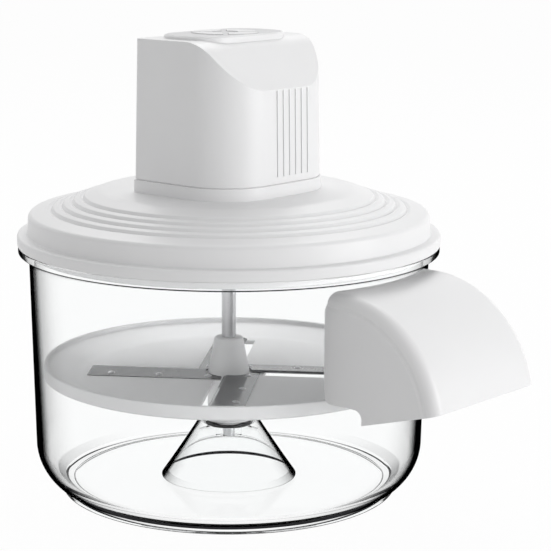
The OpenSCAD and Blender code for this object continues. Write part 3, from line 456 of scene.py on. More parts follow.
def outline(corners, closed):
    """A line of edges in the plane y = 0. A corner is (x, z) or (x, z, rounding)."""
    bm = bmesh.new()
    verts = [bm.verts.new((c[0], 0, c[1])) for c in corners]
    for first, second in zip(verts, verts[1:]):
        bm.edges.new((first, second))
    if closed:
        bm.edges.new((verts[-1], verts[0]))
    roundings = {}
    for corner, vert in zip(corners, verts):
        if len(corner) > 2:
            roundings.setdefault(corner[2], []).append(vert)
    for radius, members in roundings.items():
        round_off(bm, members, radius, 4)
    return bm


def spin_round(bm, steps):
    """Spins an outline about the axis into a closed solid."""
    bmesh.ops.spin(bm, geom=bm.verts[:] + bm.edges[:], cent=(0, 0, 0), axis=(0, 0, 1), dvec=(0, 0, 0),
                   angle=2 * math.pi, steps=steps, use_merge=True, use_duplicate=False)
    bmesh.ops.remove_doubles(bm, verts=bm.verts, dist=0.0005)
    bmesh.ops.recalc_face_normals(bm, faces=bm.faces)
    return bm


print("outline tools are ready")

# %% [markdown]
# Tools for cuts
#
# Openings are cut by the Boolean modifier, because bmesh has no operator for that, and the shells of the
# head and the hood get their wall from Solidify. Each modifier works on a passing object and gives back a
# bmesh, so that the next step can go on with it.


# %% Modifiers and cuts
def held(name, bm):
    """Puts a bmesh in a scene object, and frees it."""
    mesh = bpy.data.meshes.new(name)
    bm.to_mesh(mesh)
    bm.free()
    made = bpy.data.objects.new(name, mesh)
    scene.collection.objects.link(made)
    return made


def worked(bm, kind, settings, tool_bm=None):
    """The bmesh after one modifier. A tool bmesh is what a Boolean cuts with."""
    helpers = [held("work", bm)]
    modifier = helpers[0].modifiers.new("step", kind)
    for name, value in settings.items():
        setattr(modifier, name, value)
    if tool_bm is not None:
        helpers.append(held("tool", tool_bm))
        modifier.object = helpers[1]
    settled = helpers[0].evaluated_get(bpy.context.evaluated_depsgraph_get())
    result = bmesh.new()
    result.from_mesh(settled.to_mesh())
    settled.to_mesh_clear()
    for helper in helpers:
        mesh = helper.data
        bpy.data.objects.remove(helper)
        bpy.data.meshes.remove(mesh)
    return result


def cut(bm, tool_bm, operation="DIFFERENCE"):
    """The bmesh less the tool, or another Boolean of the two."""
    return worked(bm, "BOOLEAN", {"operation": operation, "solver": "EXACT", "use_self": True}, tool_bm)


def join(bm, other):
    """Adds another bmesh to this one."""
    mesh = bpy.data.meshes.new("join")
    other.to_mesh(mesh)
    other.free()
    bm.from_mesh(mesh)
    bpy.data.meshes.remove(mesh)
    return bm


print("cutting tools are ready")

# %% [markdown]
# Finished pieces
#
# A piece is drawn in millimetres and stored in metres. Edges that turn by more than the crease angle stay
# sharp and the rest is shaded smooth. Weighted normals keep large faces flat beside small roundings. The
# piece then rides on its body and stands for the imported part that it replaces.


# %% Finished pieces
def piece(name, bm, body, slot, *nodes, crease=32):
    """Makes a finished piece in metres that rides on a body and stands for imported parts."""
    bmesh.ops.scale(bm, vec=(MM, MM, MM), verts=bm.verts)
    limit = math.radians(crease)
    for face in bm.faces:
        face.smooth = True
    for line in bm.edges:
        line.smooth = len(line.link_faces) == 2 and line.calc_face_angle() < limit
    made = held(name, bm)
    made.data.materials.append(finishes[slot])
    made.modifiers.new("even_shading", "WEIGHTED_NORMAL").keep_sharp = True
    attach(made, body)
    if nodes:
        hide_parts(*nodes)
    print(name, "faces:", len(made.data.polygons))
    return made


def mark_edges(made, edge_at):
    """Stores how much sooner a clear piece takes its painted dark outline, from a function of radius and
    height in millimetres.
    """
    values = [edge_at(math.hypot(v.co.x, v.co.y) / MM, v.co.z / MM) for v in made.data.vertices]
    made.data.attributes.new("edge", "FLOAT", "POINT").data.foreach_set("value", values)
    print(made.name, "marked points:", len(values))


print("pieces can be finished and marked")

# %% [markdown]
# The clear bowl
#
# The bowl is one moulding: a foot ring, a generous round corner, a wall with a little draft and a flared
# lip under the lid. A cylinder with a bevel would have one rounding for all of these, so the half outline
# is drawn and will be spun.

# %% Bowl outline
bowl_top = span("bowl")[1]
WALL = 3
DRAFT = math.tan(math.radians(1.2))
LIP_OUT, LIP_H, LIP_EDGE, LIP_STEP, LIP_FILLET = 7.5, 12.5, 4.5, 0.8, 2.5
CORNER_R, CORNER_DROP = 35, 3.4
FOOT_R, FOOT_W, FOOT_H, FOOT_STRIP = 119.2, 7, 2.5, 0.3
ROUND_STEPS, CORNER_STEPS = 180, 20
bowl_r = bowl_top.x - LIP_OUT
lip_z = bowl_top.z - LIP_H
floor_z = FOOT_H + WALL
corner_z = floor_z + CORNER_R - WALL


def wall_r(z):
    """Outer radius of the bowl's wall at a height."""
    return bowl_r - (lip_z - z) * DRAFT


corner = (wall_r(corner_z) - CORNER_R, corner_z)
outer_z = corner_z - CORNER_DROP
outer_corner = (wall_r(outer_z) - CORNER_R, outer_z)
foot_angle = -math.degrees(math.acos((FOOT_R - outer_corner[0]) / CORNER_R))
foot_top = arc(outer_corner, CORNER_R, foot_angle, 0, 1)[0][1]


def bowl_outside(grow):
    """Outer half outline of the bowl from the foot to the rim."""
    return [
        *arc(outer_corner, CORNER_R + grow, foot_angle, 0, CORNER_STEPS),
        (bowl_r + grow, lip_z - grow),
        (bowl_r + LIP_STEP + grow, bowl_top.z - LIP_EDGE - LIP_FILLET - grow, LIP_FILLET),
        (bowl_top.x + grow, bowl_top.z - LIP_EDGE - grow, 0.6),
        (bowl_top.x + grow, bowl_top.z + grow, 0.6),
    ]


bowl_line = [
    (0, FOOT_H), (FOOT_R - FOOT_W, FOOT_H, 1.2), (FOOT_R - FOOT_W, 0, 0.8), (FOOT_R, 0, 1.2),
    (FOOT_R, foot_top - FOOT_STRIP), *bowl_outside(0),
    (bowl_r - WALL, bowl_top.z, 0.6), (wall_r(corner_z) - WALL, corner_z),
    *arc(corner, CORNER_R - WALL, 0, -90, CORNER_STEPS)[1:], (0, floor_z),
]
print("bowl outline:", len(bowl_line), "corners")

# %% [markdown]
# The outlet's port
#
# The outlet leaves through a port in the wall, a rectangle with round corners. An opening in the half
# outline would run all the way round, so a block is cut out of the spun wall.

# %% Port and bowl
PORT_W, PORT_H, PORT_R, PORT_DROP, PORT_GAP = 103, 67, 8, 4, 0.3
PORT_X = 5.5
port_top = lip_z - PORT_DROP
port_z = port_top - PORT_H
port_mid = (PORT_X, (port_z + port_top) / 2)


def round_block(width, height, radius, start, end, middle):
    """A block with round edges that runs along y from start to end."""
    bm = bmesh.new()
    bmesh.ops.create_grid(bm, x_segments=1, y_segments=1, size=0.5)
    bmesh.ops.scale(bm, vec=(width, height, 1), verts=bm.verts)
    round_off(bm, bm.verts[:], radius, 8)
    bmesh.ops.rotate(bm, verts=bm.verts, cent=(0, 0, 0), matrix=Matrix.Rotation(math.pi / 2, 3, "X"))
    bmesh.ops.translate(bm, verts=bm.verts, vec=(middle[0], start, middle[1]))
    run = bmesh.ops.extrude_face_region(bm, geom=bm.faces[:])
    moved = [g for g in run["geom"] if isinstance(g, bmesh.types.BMVert)]
    bmesh.ops.translate(bm, verts=moved, vec=(0, end - start, 0))
    bmesh.ops.recalc_face_normals(bm, faces=bm.faces)
    return bm


port_block = round_block(PORT_W, PORT_H, PORT_R, -1.3 * bowl_r, -0.6 * bowl_r, port_mid)
bowl_bm = cut(spin_round(outline(bowl_line, False), ROUND_STEPS), port_block)
bowl = piece("clear_bowl", bowl_bm, "bowl_base", "clear_plastic", "bowl")
bowl.visible_shadow = False

# %% [markdown]
# Where the bowl's painted dark outline falls
#
# In the picture the bowl's inner corner stays clear, the outer corner has a strong line just above the
# foot, and the edges of the foot show as thin lines. These dark lines are painted shade, standing in for the
# dark surroundings seen in the plastic. A texture could paint them. One number for each point of the mesh is
# enough, and as it follows from radius and height, it is the same all the way round.

# %% Bowl marks
# How much sooner each ring takes the painted dark outline: below zero keeps it clear, above zero paints the
# line sooner.
INSIDE, CLEARER, CLEAR_Z, CLEAR_FADE = -0.12, 0.8, 26, 14
FOOT_LINE, FOOT_LINE_Z, FOOT_WALL = 0.5, 0.9, -1.0
CORNER_LINE, CORNER_LINE_Z, CORNER_SHADE = 0.24, 8.5, 0.06
CLOSE = 0.1


def bowl_edge(r, z):
    """Painted dark outline: less and less down the inner corner, which stays clear, and more near the foot.
    """
    if z < corner_z and math.hypot(r - corner[0], z - corner[1]) < CORNER_R - WALL / 2:
        return INSIDE - CLEARER * max(0, min(1, (CLEAR_Z - z) / CLEAR_FADE))
    if z < foot_top - CLOSE:
        return FOOT_LINE if z < FOOT_LINE_Z else FOOT_WALL
    if z < corner_z:
        return CORNER_LINE if z < CORNER_LINE_Z else CORNER_SHADE
    return INSIDE if r < wall_r(z) - WALL / 2 else 0.0


mark_edges(bowl, bowl_edge)

# %% [markdown]
# The centre cone
#
# A flared clear cone stands in the middle of the floor and carries the turntable's spindle. It is a thin
# shell with a boss for the pin, which a cone primitive doesn't have. So its half outline runs up the
# outside, over a low cup round the hub, into the bore, and down the inside to a chamfer at the base. The
# top is domed inside, because light is mirrored within a flat clear plate, which showed as a black
# crescent. Outside, the cone takes the painted dark outline as it turns away, and inside only on the
# chamfer, where a painted dark line shows as an arc on the floor.

# %% Cone
CONE_BASE_R, CONE_TOP_R, CONE_H, CONE_HOLLOW, CONE_LIFT = 48, 23.2, 43, 0.6, 0.05
BOSS_WALL, BOSS_L, CONE_TIP = 5, 8, 0.4
CHAMFER_W, CHAMFER_H = 4.2, 3.5
CONE_STEPS, BEND_STEPS = 128, 14
# Shifts of the painted dark outline for the cone's outside, its chamfer line and its inside.
CONE_SIDE, CONE_LINE, CONE_INSIDE, CONE_SKIN = 0.13, 0.24, -1.0, 0.35
CUP_H, CUP_R, CUP_IN = 4.4, 20.3, 18
DOME_EDGE, DOME_T = 4.5, 1.2
cone_z = floor_z + CONE_LIFT
pin_r = span("spindle_pin")[1].x
cone_pull = ((CONE_BASE_R + CONE_TOP_R) / 2 - CONE_HOLLOW, (floor_z + CONE_H) / 2)
cone_tip = (CONE_BASE_R - CONE_TIP, cone_z)
chamfer_top = (cone_tip[0] - CHAMFER_W, cone_z + CHAMFER_H)
inner_top = (CONE_TOP_R - WALL, CONE_H - DOME_EDGE)
inner_pull = ((chamfer_top[0] + inner_top[0]) / 2, (chamfer_top[1] + inner_top[1]) / 2)
cone_line = [
    *bend((CONE_BASE_R, cone_z), cone_pull, (CONE_TOP_R, CONE_H), BEND_STEPS),
    (CUP_R, CONE_H + CUP_H, 0.8), (CUP_IN, CONE_H + CUP_H, 0.8), (CUP_IN, CONE_H, 1.0),
    (pin_r, CONE_H), (pin_r, CONE_H - BOSS_L),
    (pin_r + BOSS_WALL, CONE_H - BOSS_L, 0.8), (pin_r + BOSS_WALL, CONE_H - DOME_T, 1.0),
    *bend(inner_top, inner_pull, chamfer_top, BEND_STEPS), cone_tip,
]
cone_bm = spin_round(outline(cone_line, True), CONE_STEPS)
cone = piece("centre_cone_clear", cone_bm, "bowl_base", "clear_plastic", "centre_cone", crease=10)
cone.visible_shadow = False


def cone_edge(r, z):
    """The painted dark outline: on the outside as it stands, on the inside only on the chamfer at its base.
    """
    outside_r = CONE_BASE_R - (z - cone_z) * (CONE_BASE_R - CONE_TOP_R) / (CONE_H - cone_z)
    if r > outside_r - CONE_SKIN:
        return CONE_SIDE
    return CONE_LINE if z < chamfer_top[1] + CLOSE else CONE_INSIDE


mark_edges(cone, cone_edge)

# %% [markdown]
# The turntable
#
# A shallow white tray with a raised rim turns on the spindle. It has a hub below and a tapered drive socket
# above. Its floor rises towards the rim, and the underside with it, so that only a low rim shows from the
# side. It could be sculpted from a cylinder by insets, but one spun outline keeps every height in one list.

# %% Tray
disc_low, disc_high = span("blade_disc")
RIM_H, RIM_W, DISC_T, DISH_W, DISH_RISE, DISH_TOP = 10.6, 3, 3, 22, 4.3, 7.6
HUB_R, SOCKET_R, SOCKET_H = 15, 9.97, 26
disc_r = disc_high.x
disc_z = disc_high.z - SOCKET_H
under_z = disc_z - DISC_T
rim_z = disc_z + RIM_H
bush_r = span("hub_bush")[1].x
disc_line = [
    (0, under_z), (bush_r, under_z), (bush_r, disc_low.z), (HUB_R, disc_low.z, 0.8), (HUB_R, under_z, 2.5),
    (disc_r - DISH_W, under_z), (disc_r, under_z + DISH_RISE, 1.2), (disc_r, rim_z, 1.2),
    (disc_r - RIM_W, rim_z, 1.0), (disc_r - RIM_W, disc_z + DISH_TOP, 2),
    (disc_r - RIM_W - DISH_W, disc_z, 4), (HUB_R, disc_z, 1),
    (SOCKET_R, disc_high.z, 1.2), (0, disc_high.z),
]
disc_bm = spin_round(outline(disc_line, False), ROUND_STEPS)
print("tray radius in mm:", round(disc_r, 1))

# %% [markdown]
# Slots, seats and socket
#
# Peel drops through a slot in front of each blade, and the blade lies tilted in a seat. The drive socket
# has six sides. An Array modifier could repeat one block about the axis. Here a loop turns each block to
# its blade, the seats are hollowed round the hub, and everything is then cut out of the tray.

# %% Slots, seats and socket
HEX_FLATS, HEX_L = 8.6, 18
BLADE_W, BLADE_L, BLADE_IN, BLADE_SIDE = 24, 95, 3, -1.5
BLADE_TILT, BLADE_SINK, LEDGE_W, SLIT_W, SLOT_IN, SLOT_END, HUB_GAP = 4, 0.8, 11, 6, 25.5, 1, 0.6
BLADE_TURN, BLADE_COUNT = -145, 4
SLOT_CUT, SEAT_CUT, HUB_STEPS, HUB_CUT = 5, 4, 96, 20


def block(low, high):
    """A block between two corners."""
    bm = bmesh.new()
    bmesh.ops.create_cube(bm, size=1)
    low, high = Vector(low), Vector(high)
    bmesh.ops.scale(bm, vec=high - low, verts=bm.verts)
    bmesh.ops.translate(bm, verts=bm.verts, vec=(low + high) / 2)
    return bm


def turn_to_blade(bm, k):
    """Turns a shape about the axis to the k-th blade."""
    angle = math.radians(BLADE_TURN + 360 / BLADE_COUNT * k)
    bmesh.ops.rotate(bm, verts=bm.verts, cent=(0, 0, 0), matrix=Matrix.Rotation(angle, 3, "Z"))
    return bm


def rod(radius, segments, middle_z, height):
    """An upright rod on the axis."""
    bm = bmesh.new()
    bmesh.ops.create_cone(bm, cap_ends=True, segments=segments, radius1=radius, radius2=radius, depth=height)
    bmesh.ops.translate(bm, verts=bm.verts, vec=(0, 0, middle_z))
    return bm


slots = rod(HEX_FLATS / math.sqrt(3), 6, disc_high.z, 2 * HEX_L)
seats = bmesh.new()
seat_place = Matrix.Translation((BLADE_IN, BLADE_SIDE + BLADE_W, disc_z - BLADE_SINK))
seat_place = seat_place @ Matrix.Rotation(-math.radians(BLADE_TILT), 4, "X")
for k in range(BLADE_COUNT):
    slot_block = block((SLOT_IN, BLADE_SIDE - SLIT_W, under_z - SLOT_CUT),
                       (BLADE_IN + BLADE_L - SLOT_END, BLADE_SIDE + BLADE_W - LEDGE_W, disc_z + SLOT_CUT))
    join(slots, turn_to_blade(slot_block, k))
    seat_block = block((0, -BLADE_W, 0), (BLADE_L, 0, SEAT_CUT))
    bmesh.ops.transform(seat_block, matrix=seat_place, verts=seat_block.verts)
    join(seats, turn_to_blade(seat_block, k))
seats = cut(seats, rod(HUB_R + HUB_GAP, HUB_STEPS, disc_z, HUB_CUT))
disc_bm = cut(cut(disc_bm, slots), seats)
turntable = piece("turntable_tray", disc_bm, "turntable", "white_plastic", "blade_disc")
# painted shade: the tray takes the darker copy of the white plastic
turntable.data.materials[0] = tray_white_painted_shade

# %% [markdown]
# The ridged lid
#
# The lid has a plug that drops into the bowl, a flange that rests on the lip, a short neck, and a shallow
# slope with four ridges up to a flat top. Rings could be cut out of the slope. Here the ridges lie between
# rounded grooves in the half outline, each with a steeper inner wall, and need no step of their own.

# %% Lid
lid_low, lid_high = span("lid")
LID_T, FLANGE_H, NECK_IN, SHOULDER_H, SHOULDER_R, PLATEAU_R = 3, 8, 7, 21, 3, 89
RIDGE_FIRST, RIDGE_PITCH, RIDGE_COUNT, RIDGE_CUT, RIDGE_HALF = 102.3, 7.35, 4, 2.0, 2.0
RIDGE_LEAN, LID_STEPS = 0.5, 200
PLUG_GAP, SEAL_GAP, SEAL_IN, SEAT_GAP, NECK_DRAFT = 0.5, 0.1, 1.5, 0.3, 1
LID_BOSS_R, LID_BOSS_Z = 12, 183.5
lid_z = bowl_top.z + SEAT_GAP
flange_r = lid_high.x
flange_z = bowl_top.z + FLANGE_H
neck_r = flange_r - NECK_IN
shoulder_z = bowl_top.z + SHOULDER_H
lid_top = lid_high.z
plug_r = bowl_r - WALL - PLUG_GAP
seal_high = span("lid_seal")[1]
seal_in = bowl_r + SEAL_IN
slope_drop = (lid_top - shoulder_z) / (neck_r - SHOULDER_R - PLATEAU_R)
boss_in = span("upper_bush")[1].x


def slope_z(r):
    """Height of the lid's slope at a radius."""
    return shoulder_z + (neck_r - SHOULDER_R - r) * slope_drop


ridge_line = []
for i in reversed(range(RIDGE_COUNT)):
    r = RIDGE_FIRST + i * RIDGE_PITCH
    ridge_line += [
        (r + RIDGE_HALF, slope_z(r + RIDGE_HALF), 0.4), (r - RIDGE_LEAN, slope_z(r) - RIDGE_CUT, 0.5),
        (r - RIDGE_HALF, slope_z(r - RIDGE_HALF), 0.4),
    ]
lid_line = [
    (plug_r - LID_T, lid_low.z, 0.8), (plug_r, lid_low.z, 1.2), (plug_r, lid_z),
    (seal_in - SEAL_GAP, lid_z), (seal_in - SEAL_GAP, seal_high.z), (seal_high.x + SEAL_GAP, seal_high.z),
    (seal_high.x + SEAL_GAP, lid_z), (flange_r, lid_z, 1.0), (flange_r, flange_z, 1.6),
    (neck_r, flange_z, 1.0), (neck_r - NECK_DRAFT, shoulder_z + 1.0, 2.6),
    *ridge_line,
    (PLATEAU_R, lid_top, 3.0), (boss_in, lid_top),
    (boss_in, LID_BOSS_Z, 0.5), (LID_BOSS_R, LID_BOSS_Z, 0.8), (LID_BOSS_R, lid_top - LID_T, 2.0),
    (PLATEAU_R - 2, lid_top - LID_T, 2.0), (neck_r - SHOULDER_R - NECK_DRAFT, shoulder_z - LID_T, 2.0),
    (neck_r - LID_T - NECK_DRAFT, shoulder_z - SHOULDER_R - LID_T, 1.0),
    (neck_r - LID_T - NECK_DRAFT, flange_z - NECK_DRAFT), (plug_r - LID_T, flange_z - LID_T),
]
piece("ridged_lid", spin_round(outline(lid_line, True), LID_STEPS), "lid_head", "white_plastic", "lid")

# %% [markdown]
# The motor head
#
# The head is a box with two wide round front corners and a little taper. Its flat top rolls over a rounded
# shoulder into a straight slope, which meets the front in a crisp edge. A bevelled block would round that
# edge too. So the plan is drawn once and pulled up, and each point of the upper edge goes to the height of
# the shoulder above it. Because the shoulder is level from side to side, bridging the left and right edges
# makes the top.

# %% Head plan and shoulder
HEAD_FRONT_R, HEAD_BACK_R, HEAD_T, HEAD_TAPER = 37, 4, 2.5, 0.968
SLOPE_R, SLOPE_START, SLOPE_LEAN = 27, 12.4, math.radians(49.4)
SIDE_CUTS = 16
collar_low, collar_high = span("head_base")
COLLAR_OUT, COLLAR_H = 1, 8.7
collar_z = lid_top + COLLAR_H
head_half = collar_high.x - COLLAR_OUT
head_front = collar_low.y + COLLAR_OUT
head_back = collar_high.y - COLLAR_OUT
head_z = span("motor_housing")[1].z
head_h = head_z - collar_z


def head_plan(z):
    """The head's plan as a ring of edges at a height."""
    bm = bmesh.new()
    places = [(-head_half, head_front), (head_half, head_front)]
    places += [(head_half, head_back), (-head_half, head_back)]
    verts = [bm.verts.new((x, y, z)) for x, y in places]
    for first, second in zip(verts, verts[1:] + verts[:1]):
        bm.edges.new((first, second))
    round_off(bm, verts[:2], HEAD_FRONT_R, 28)
    round_off(bm, verts[2:], HEAD_BACK_R, 5)
    sides = [e for e in bm.edges if abs(e.verts[0].co.x - e.verts[1].co.x) < 0.01]
    bmesh.ops.subdivide_edges(bm, edges=sides, cuts=SIDE_CUTS)
    return bm


def shoulder(y):
    """Height of the head's rolled top at a place between front and back."""
    reach = max(0, -y - SLOPE_START)
    round_reach = SLOPE_R * math.sin(SLOPE_LEAN)
    on_round = min(reach, round_reach)
    straight_drop = (reach - on_round) * math.tan(SLOPE_LEAN)
    return head_z - SLOPE_R + math.sqrt(SLOPE_R ** 2 - on_round ** 2) - straight_drop


print("head plan in mm:", round(2 * head_half, 1), "by", round(head_back - head_front, 1))

# %% [markdown]
# Pulling up the head
#
# The taper of a point depends on its height, and the height on how far the taper has moved it back. It
# could be solved as an equation, but a few rounds of working out both settle them. The shell is then
# bevelled along its upper edge and given a wall inwards.

# %% Head shell
HEAD_EDGE, TAPER_ROUNDS = 1.1, 12
head_bm = head_plan(collar_z)
raised = bmesh.ops.extrude_edge_only(head_bm, edges=head_bm.edges[:])
top_verts = [g for g in raised["geom"] if isinstance(g, bmesh.types.BMVert)]
for vert in top_verts:
    foot = vert.co.copy()
    height = head_h
    for _ in range(TAPER_ROUNDS):
        scale = 1 - (1 - HEAD_TAPER) * height / head_h
        height = shoulder(foot.y * scale) - collar_z
    vert.co = (foot.x * scale, foot.y * scale, collar_z + height)
top_lines = [g for g in raised["geom"] if isinstance(g, bmesh.types.BMEdge)]
top_lines = [e for e in top_lines if all(v in top_verts for v in e.verts)]
left = [e for e in top_lines if all(v.co.x < 0 for v in e.verts)]
right = [e for e in top_lines if all(v.co.x > 0 for v in e.verts)]
bmesh.ops.bridge_loops(head_bm, edges=left + right)
bmesh.ops.recalc_face_normals(head_bm, faces=head_bm.faces)
bmesh.ops.bevel(head_bm, geom=top_lines, offset=HEAD_EDGE, offset_type="OFFSET", segments=3, profile=0.5,
                affect="EDGES", material=-1, clamp_overlap=True)
head_bm = worked(head_bm, "SOLIDIFY", {"thickness": HEAD_T, "offset": -1, "use_even_offset": True})
print("head shell height in mm:", round(head_h, 1))

# %% [markdown]
# Openings in the head
#
# Six vent slots run up the front, the power inlet sits in the back wall, and the pod of keys is let into
# the top. Faces of the shell could be inset and removed, but the openings cross several faces, so blocks
# are cut out. A small bevel round the lower edge then leaves the fine dark seam above the collar.

# %% Vents, inlet and pod opening
VENT_COUNT, VENT_PITCH, VENT_W, VENT_X, VENT_H = 6, 6.2, 2, 5.5, 58
VENT_LIFT, VENT_OUT, VENT_IN = 5, 5, 8
POD_W, POD_L, POD_R, POD_Y, POD_GAP, POD_CUT = 90, 54, 22, 4, 0.2, 20
SEAM = 0.7
vent_z = collar_z + VENT_LIFT
vent_xs = [VENT_X + (i - (VENT_COUNT - 1) / 2) * VENT_PITCH for i in range(VENT_COUNT)]
openings = bmesh.new()
for x in vent_xs:
    join(openings, block((x - VENT_W / 2, head_front - VENT_OUT, vent_z),
                         (x + VENT_W / 2, head_front + VENT_IN, vent_z + VENT_H)))
inlet_low, inlet_high = span("power_inlet")
inlet_mid = (inlet_low + inlet_high) / 2
INLET_HALF = Vector((10.2, 12, 6.2))
join(openings, block(inlet_mid - INLET_HALF, inlet_mid + INLET_HALF))
pod_hole = round_block(POD_W + 2 * POD_GAP, POD_L + 2 * POD_GAP, POD_R + POD_GAP, -POD_CUT, POD_CUT, (0, 0))
bmesh.ops.rotate(pod_hole, verts=pod_hole.verts, cent=(0, 0, 0), matrix=Matrix.Rotation(math.pi / 2, 3, "X"))
bmesh.ops.translate(pod_hole, verts=pod_hole.verts, vec=(0, POD_Y, head_z))
head_bm = cut(cut(head_bm, openings), pod_hole)
seam_lines = [e for e in head_bm.edges if all(abs(v.co.z - collar_z) < 0.01 for v in e.verts)]
seam_lines = [e for e in seam_lines if len(e.link_faces) == 2 and e.calc_face_angle() > math.radians(45)]
bmesh.ops.bevel(head_bm, geom=seam_lines, offset=SEAM, offset_type="OFFSET", segments=1, profile=0.5,
                affect="EDGES", material=-1, clamp_overlap=True)
piece("motor_head", head_bm, "lid_head", "white_plastic", "motor_housing")

# %% [markdown]
# The vents' screen
#
# The vent slots look pale, not black, so something light lies just under their openings. A lamp inside the
# head could brighten them, but it would be no part of the object. So pale dust screens are let into the
# slots, a strip for each, which lean with the head's tapered front.

# %% Vent screen
SCREEN_IN, SCREEN_T, SCREEN_LAP = 0.8, 1.0, 0.3
screen_bm = bmesh.new()
screen_half = VENT_W / 2 + SCREEN_LAP
for x in vent_xs:
    join(screen_bm, block((x - screen_half, head_front + SCREEN_IN, vent_z - SCREEN_LAP),
                          (x + screen_half, head_front + SCREEN_IN + SCREEN_T, vent_z + VENT_H + SCREEN_LAP)))
for vert in screen_bm.verts:
    vert.co.y -= head_front * (1 - HEAD_TAPER) * (vert.co.z - collar_z) / head_h
piece("vent_screen", screen_bm, "lid_head", "white_plastic")

# %% [markdown]
# Moulded parts with soft edges
#
# The collar under the head, the pod and its keys have the right shape but razor-sharp edges, which no
# moulded part has. They could be drawn again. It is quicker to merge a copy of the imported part, make its
# flat faces whole again, and give its outer edges a small bevel that catches the light.


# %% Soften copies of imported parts
def softened(node, width, wanted):
    """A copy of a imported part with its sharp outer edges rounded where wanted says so."""
    bm = bmesh.new()
    bm.from_mesh(frame["nodes"][node].data)
    bmesh.ops.scale(bm, vec=(1 / MM, 1 / MM, 1 / MM), verts=bm.verts)
    bmesh.ops.remove_doubles(bm, verts=bm.verts, dist=0.002)
    bmesh.ops.dissolve_limit(bm, angle_limit=math.radians(0.6), verts=bm.verts, edges=bm.edges)
    lines = [e for e in bm.edges if len(e.link_faces) == 2 and e.is_convex]
    lines = [e for e in lines if e.calc_face_angle() > math.radians(45) and wanted(e)]
    bmesh.ops.bevel(bm, geom=lines, offset=width, offset_type="OFFSET", segments=2, profile=0.5,
                    affect="EDGES", material=-1, clamp_overlap=True)
    return bm


def all_above(z):
    """Picks edges that lie above a height."""
    return lambda line: all(v.co.z > z for v in line.verts)


COLLAR_SOFT, POD_SOFT, KEY_SOFT = 0.8, 0.25, 0.35
POD_RIM, KEY_RIM = 1.5, 0.05
collar_bm = softened("head_base", COLLAR_SOFT, all_above(collar_z - CLOSE))
piece("head_collar", collar_bm, "lid_head", "white_plastic", "head_base")
pod_top = span("control_panel")[1].z
pod_bm = softened("control_panel", POD_SOFT, all_above(pod_top - POD_RIM))
piece("key_pod", pod_bm, "lid_head", "white_plastic", "control_panel")
for job in ("start", "stop", "slow", "fast"):
    key_top = span(job + "_key")[1].z
    key_bm = softened(job + "_key", KEY_SOFT, all_above(key_top - KEY_RIM))
    piece(job + "_key_cap", key_bm, job + "_button", "key_plastic", job + "_key")

# %% [markdown]
# The outlet hood
#
# What has been peeled leaves through the port under a white quarter-round hood. A bent pipe would be round
# all over, but the hood's cross-section is a flat arch with round corners and a fine groove along each
# side. Spinning this arch about a level axis makes the quarter round, and Solidify gives it a wall.

# %% Hood shell
hood_low, hood_high = span("chute_hood")
HOOD_R, HOOD_T, HOOD_ROUND, HOOD_RISE, HOOD_STEP_Y, HOOD_STEP_H = 80.5, 2.5, 8, 16.3, 20, 9.5
HOOD_STEP_R, HOOD_CORNER_R, HOOD_SWEEP = 6, 5, 100
GROOVE_W, GROOVE_IN, ROUND_ROOM, HOOD_IN, HOOD_STEPS = 4, 0.5, 0.2, 1, 40
hood_half = (hood_high.x - hood_low.x) / 2
hood_y = HOOD_IN - bowl_r
hood_z = hood_high.z - HOOD_R
groove_z = hood_high.z - HOOD_ROUND
arch = [
    (-hood_half, hood_z), (-hood_half, groove_z - GROOVE_W), (GROOVE_IN - hood_half, groove_z - GROOVE_W / 2),
    (-hood_half, groove_z), (-hood_half, hood_high.z),
]
arch += [(-x, z) for x, z in reversed(arch)]
hood_bm = bmesh.new()
arch_verts = [hood_bm.verts.new((c[0], hood_y, c[1])) for c in arch]
for first, second in zip(arch_verts, arch_verts[1:]):
    hood_bm.edges.new((first, second))
round_off(hood_bm, arch_verts[4:6], HOOD_ROUND - ROUND_ROOM, 8)
round_off(hood_bm, arch_verts[1:4] + arch_verts[6:9], GROOVE_W / 4, 3)
start_lines = hood_bm.edges[:]
straight = bmesh.ops.extrude_edge_only(hood_bm, edges=start_lines)
moved = [g for g in straight["geom"] if isinstance(g, bmesh.types.BMVert)]
bmesh.ops.translate(hood_bm, verts=moved, vec=(0, bowl_r / 2, 0))
bmesh.ops.spin(hood_bm, geom=start_lines, cent=(0, hood_y, hood_z), axis=(1, 0, 0), dvec=(0, 0, 0),
               angle=math.radians(HOOD_SWEEP), steps=HOOD_STEPS, use_merge=False, use_duplicate=False)
bmesh.ops.remove_doubles(hood_bm, verts=hood_bm.verts, dist=0.0005)
bmesh.ops.dissolve_degenerate(hood_bm, dist=0.0005, edges=hood_bm.edges)
bmesh.ops.recalc_face_normals(hood_bm, faces=hood_bm.faces)
if sum(f.normal.z * f.calc_area() for f in hood_bm.faces) < 0:
    bmesh.ops.reverse_faces(hood_bm, faces=hood_bm.faces)
hood_bm = worked(hood_bm, "SOLIDIFY", {"thickness": HOOD_T, "offset": -1, "use_even_offset": True})
print("hood shell faces:", len(hood_bm.faces))

# %% [markdown]
# The hood's lower edge
#
# Seen from the side, the hood's lower edge has a step near the wall and then rises to the lip, and its back
# follows the round bowl. Its points could be moved one by one. Two cuts are exact: the side view is drawn
# as a block that keeps what is inside it, and the bowl's own outline, a little larger, is taken away.

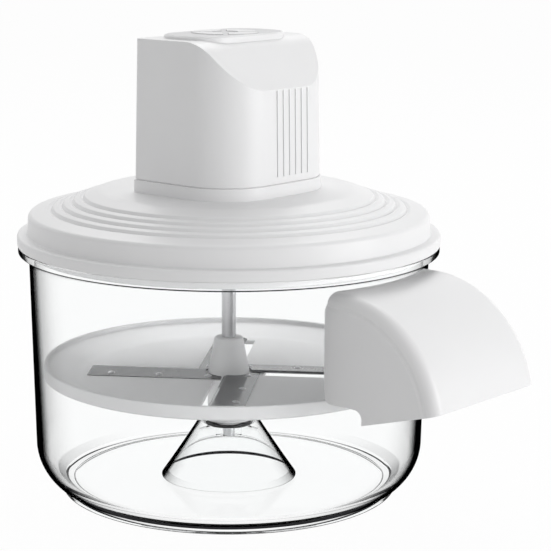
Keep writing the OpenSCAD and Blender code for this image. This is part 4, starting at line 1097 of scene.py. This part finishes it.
# %% Trim the hood
TRIM_REACH, TRIM_TOP, TRIM_SIDE = 100, 260, 5
step_y = -bowl_r - HOOD_STEP_Y
low_z = port_z - HOOD_STEP_H
wall_y = -math.sqrt(wall_r(port_z) ** 2 - hood_low.x ** 2)
rise = TRIM_REACH * math.tan(math.radians(HOOD_RISE))
trim_line = [
    (0, port_z + HOOD_CORNER_R),
    *arc((wall_y - HOOD_CORNER_R, port_z + HOOD_CORNER_R), HOOD_CORNER_R, 0, -90, 6),
    *arc((step_y + HOOD_STEP_R, port_z - HOOD_STEP_R), HOOD_STEP_R, 90, 180, 8),
    (step_y, low_z), (step_y - TRIM_REACH, low_z + rise),
    (step_y - TRIM_REACH, TRIM_TOP), (0, TRIM_TOP),
]
trim_bm = bmesh.new()
trim_verts = [trim_bm.verts.new((-hood_half - TRIM_SIDE, y, z)) for y, z in trim_line]
trim_face = trim_bm.faces.new(trim_verts)
pulled = bmesh.ops.extrude_face_region(trim_bm, geom=[trim_face])
moved = [g for g in pulled["geom"] if isinstance(g, bmesh.types.BMVert)]
bmesh.ops.translate(trim_bm, verts=moved, vec=(2 * (hood_half + TRIM_SIDE), 0, 0))
bmesh.ops.recalc_face_normals(trim_bm, faces=trim_bm.faces)
hood_bm = cut(hood_bm, trim_bm, "INTERSECT")
bmesh.ops.translate(hood_bm, verts=hood_bm.verts, vec=(PORT_X, 0, 0))
bowl_core = [(0, 0), (FOOT_R, 0), *[c[:2] for c in bowl_outside(PORT_GAP)], (0, bowl_top.z + PORT_GAP)]
hood_bm = cut(hood_bm, spin_round(outline(bowl_core, False), ROUND_STEPS))
piece("outlet_hood", hood_bm, "bowl_base", "white_plastic", "chute_hood")

# %% [markdown]
# The outlet's collar
#
# The hood is held in the port by a rectangular collar with round corners, and a flange closes the space
# between the collar and the hood. They could be made from bridged loops. Blocks are simpler: one for the
# collar, whose inner end follows the round bowl, one for the flange, and a smaller one that cuts the way
# out through both.

# %% Outlet collar
COLLAR_T, COLLAR_PROUD, FLANGE_OUT = 2, 1.8, 1
flange_y = -bowl_r - FLANGE_OUT
way_out = PORT_GAP + COLLAR_T
flange_inset = HOOD_T / 2
sleeve = round_block(PORT_W - 2 * PORT_GAP, PORT_H - 2 * PORT_GAP, PORT_R - PORT_GAP, flange_y - COLLAR_T,
                     -bowl_r / 2, port_mid)
sleeve = cut(sleeve, rod(wall_r(port_z) - WALL - COLLAR_PROUD, ROUND_STEPS, port_mid[1], 2 * PORT_H))
flange_top = hood_high.z - flange_inset
flange_low = port_z + PORT_GAP
flange_mid = (PORT_X, (flange_top + flange_low) / 2)
flange = round_block(2 * (hood_half - flange_inset), flange_top - flange_low, HOOD_ROUND - flange_inset,
                     flange_y - COLLAR_T, flange_y, flange_mid)
open_way = round_block(PORT_W - 2 * way_out, PORT_H - 2 * way_out, PORT_R - way_out, flange_y - 2 * COLLAR_T,
                       -bowl_r / 3, port_mid)
collar_bm = cut(cut(sleeve, flange, "UNION"), open_way)
piece("outlet_collar", collar_bm, "bowl_base", "white_plastic", "chute_hood")
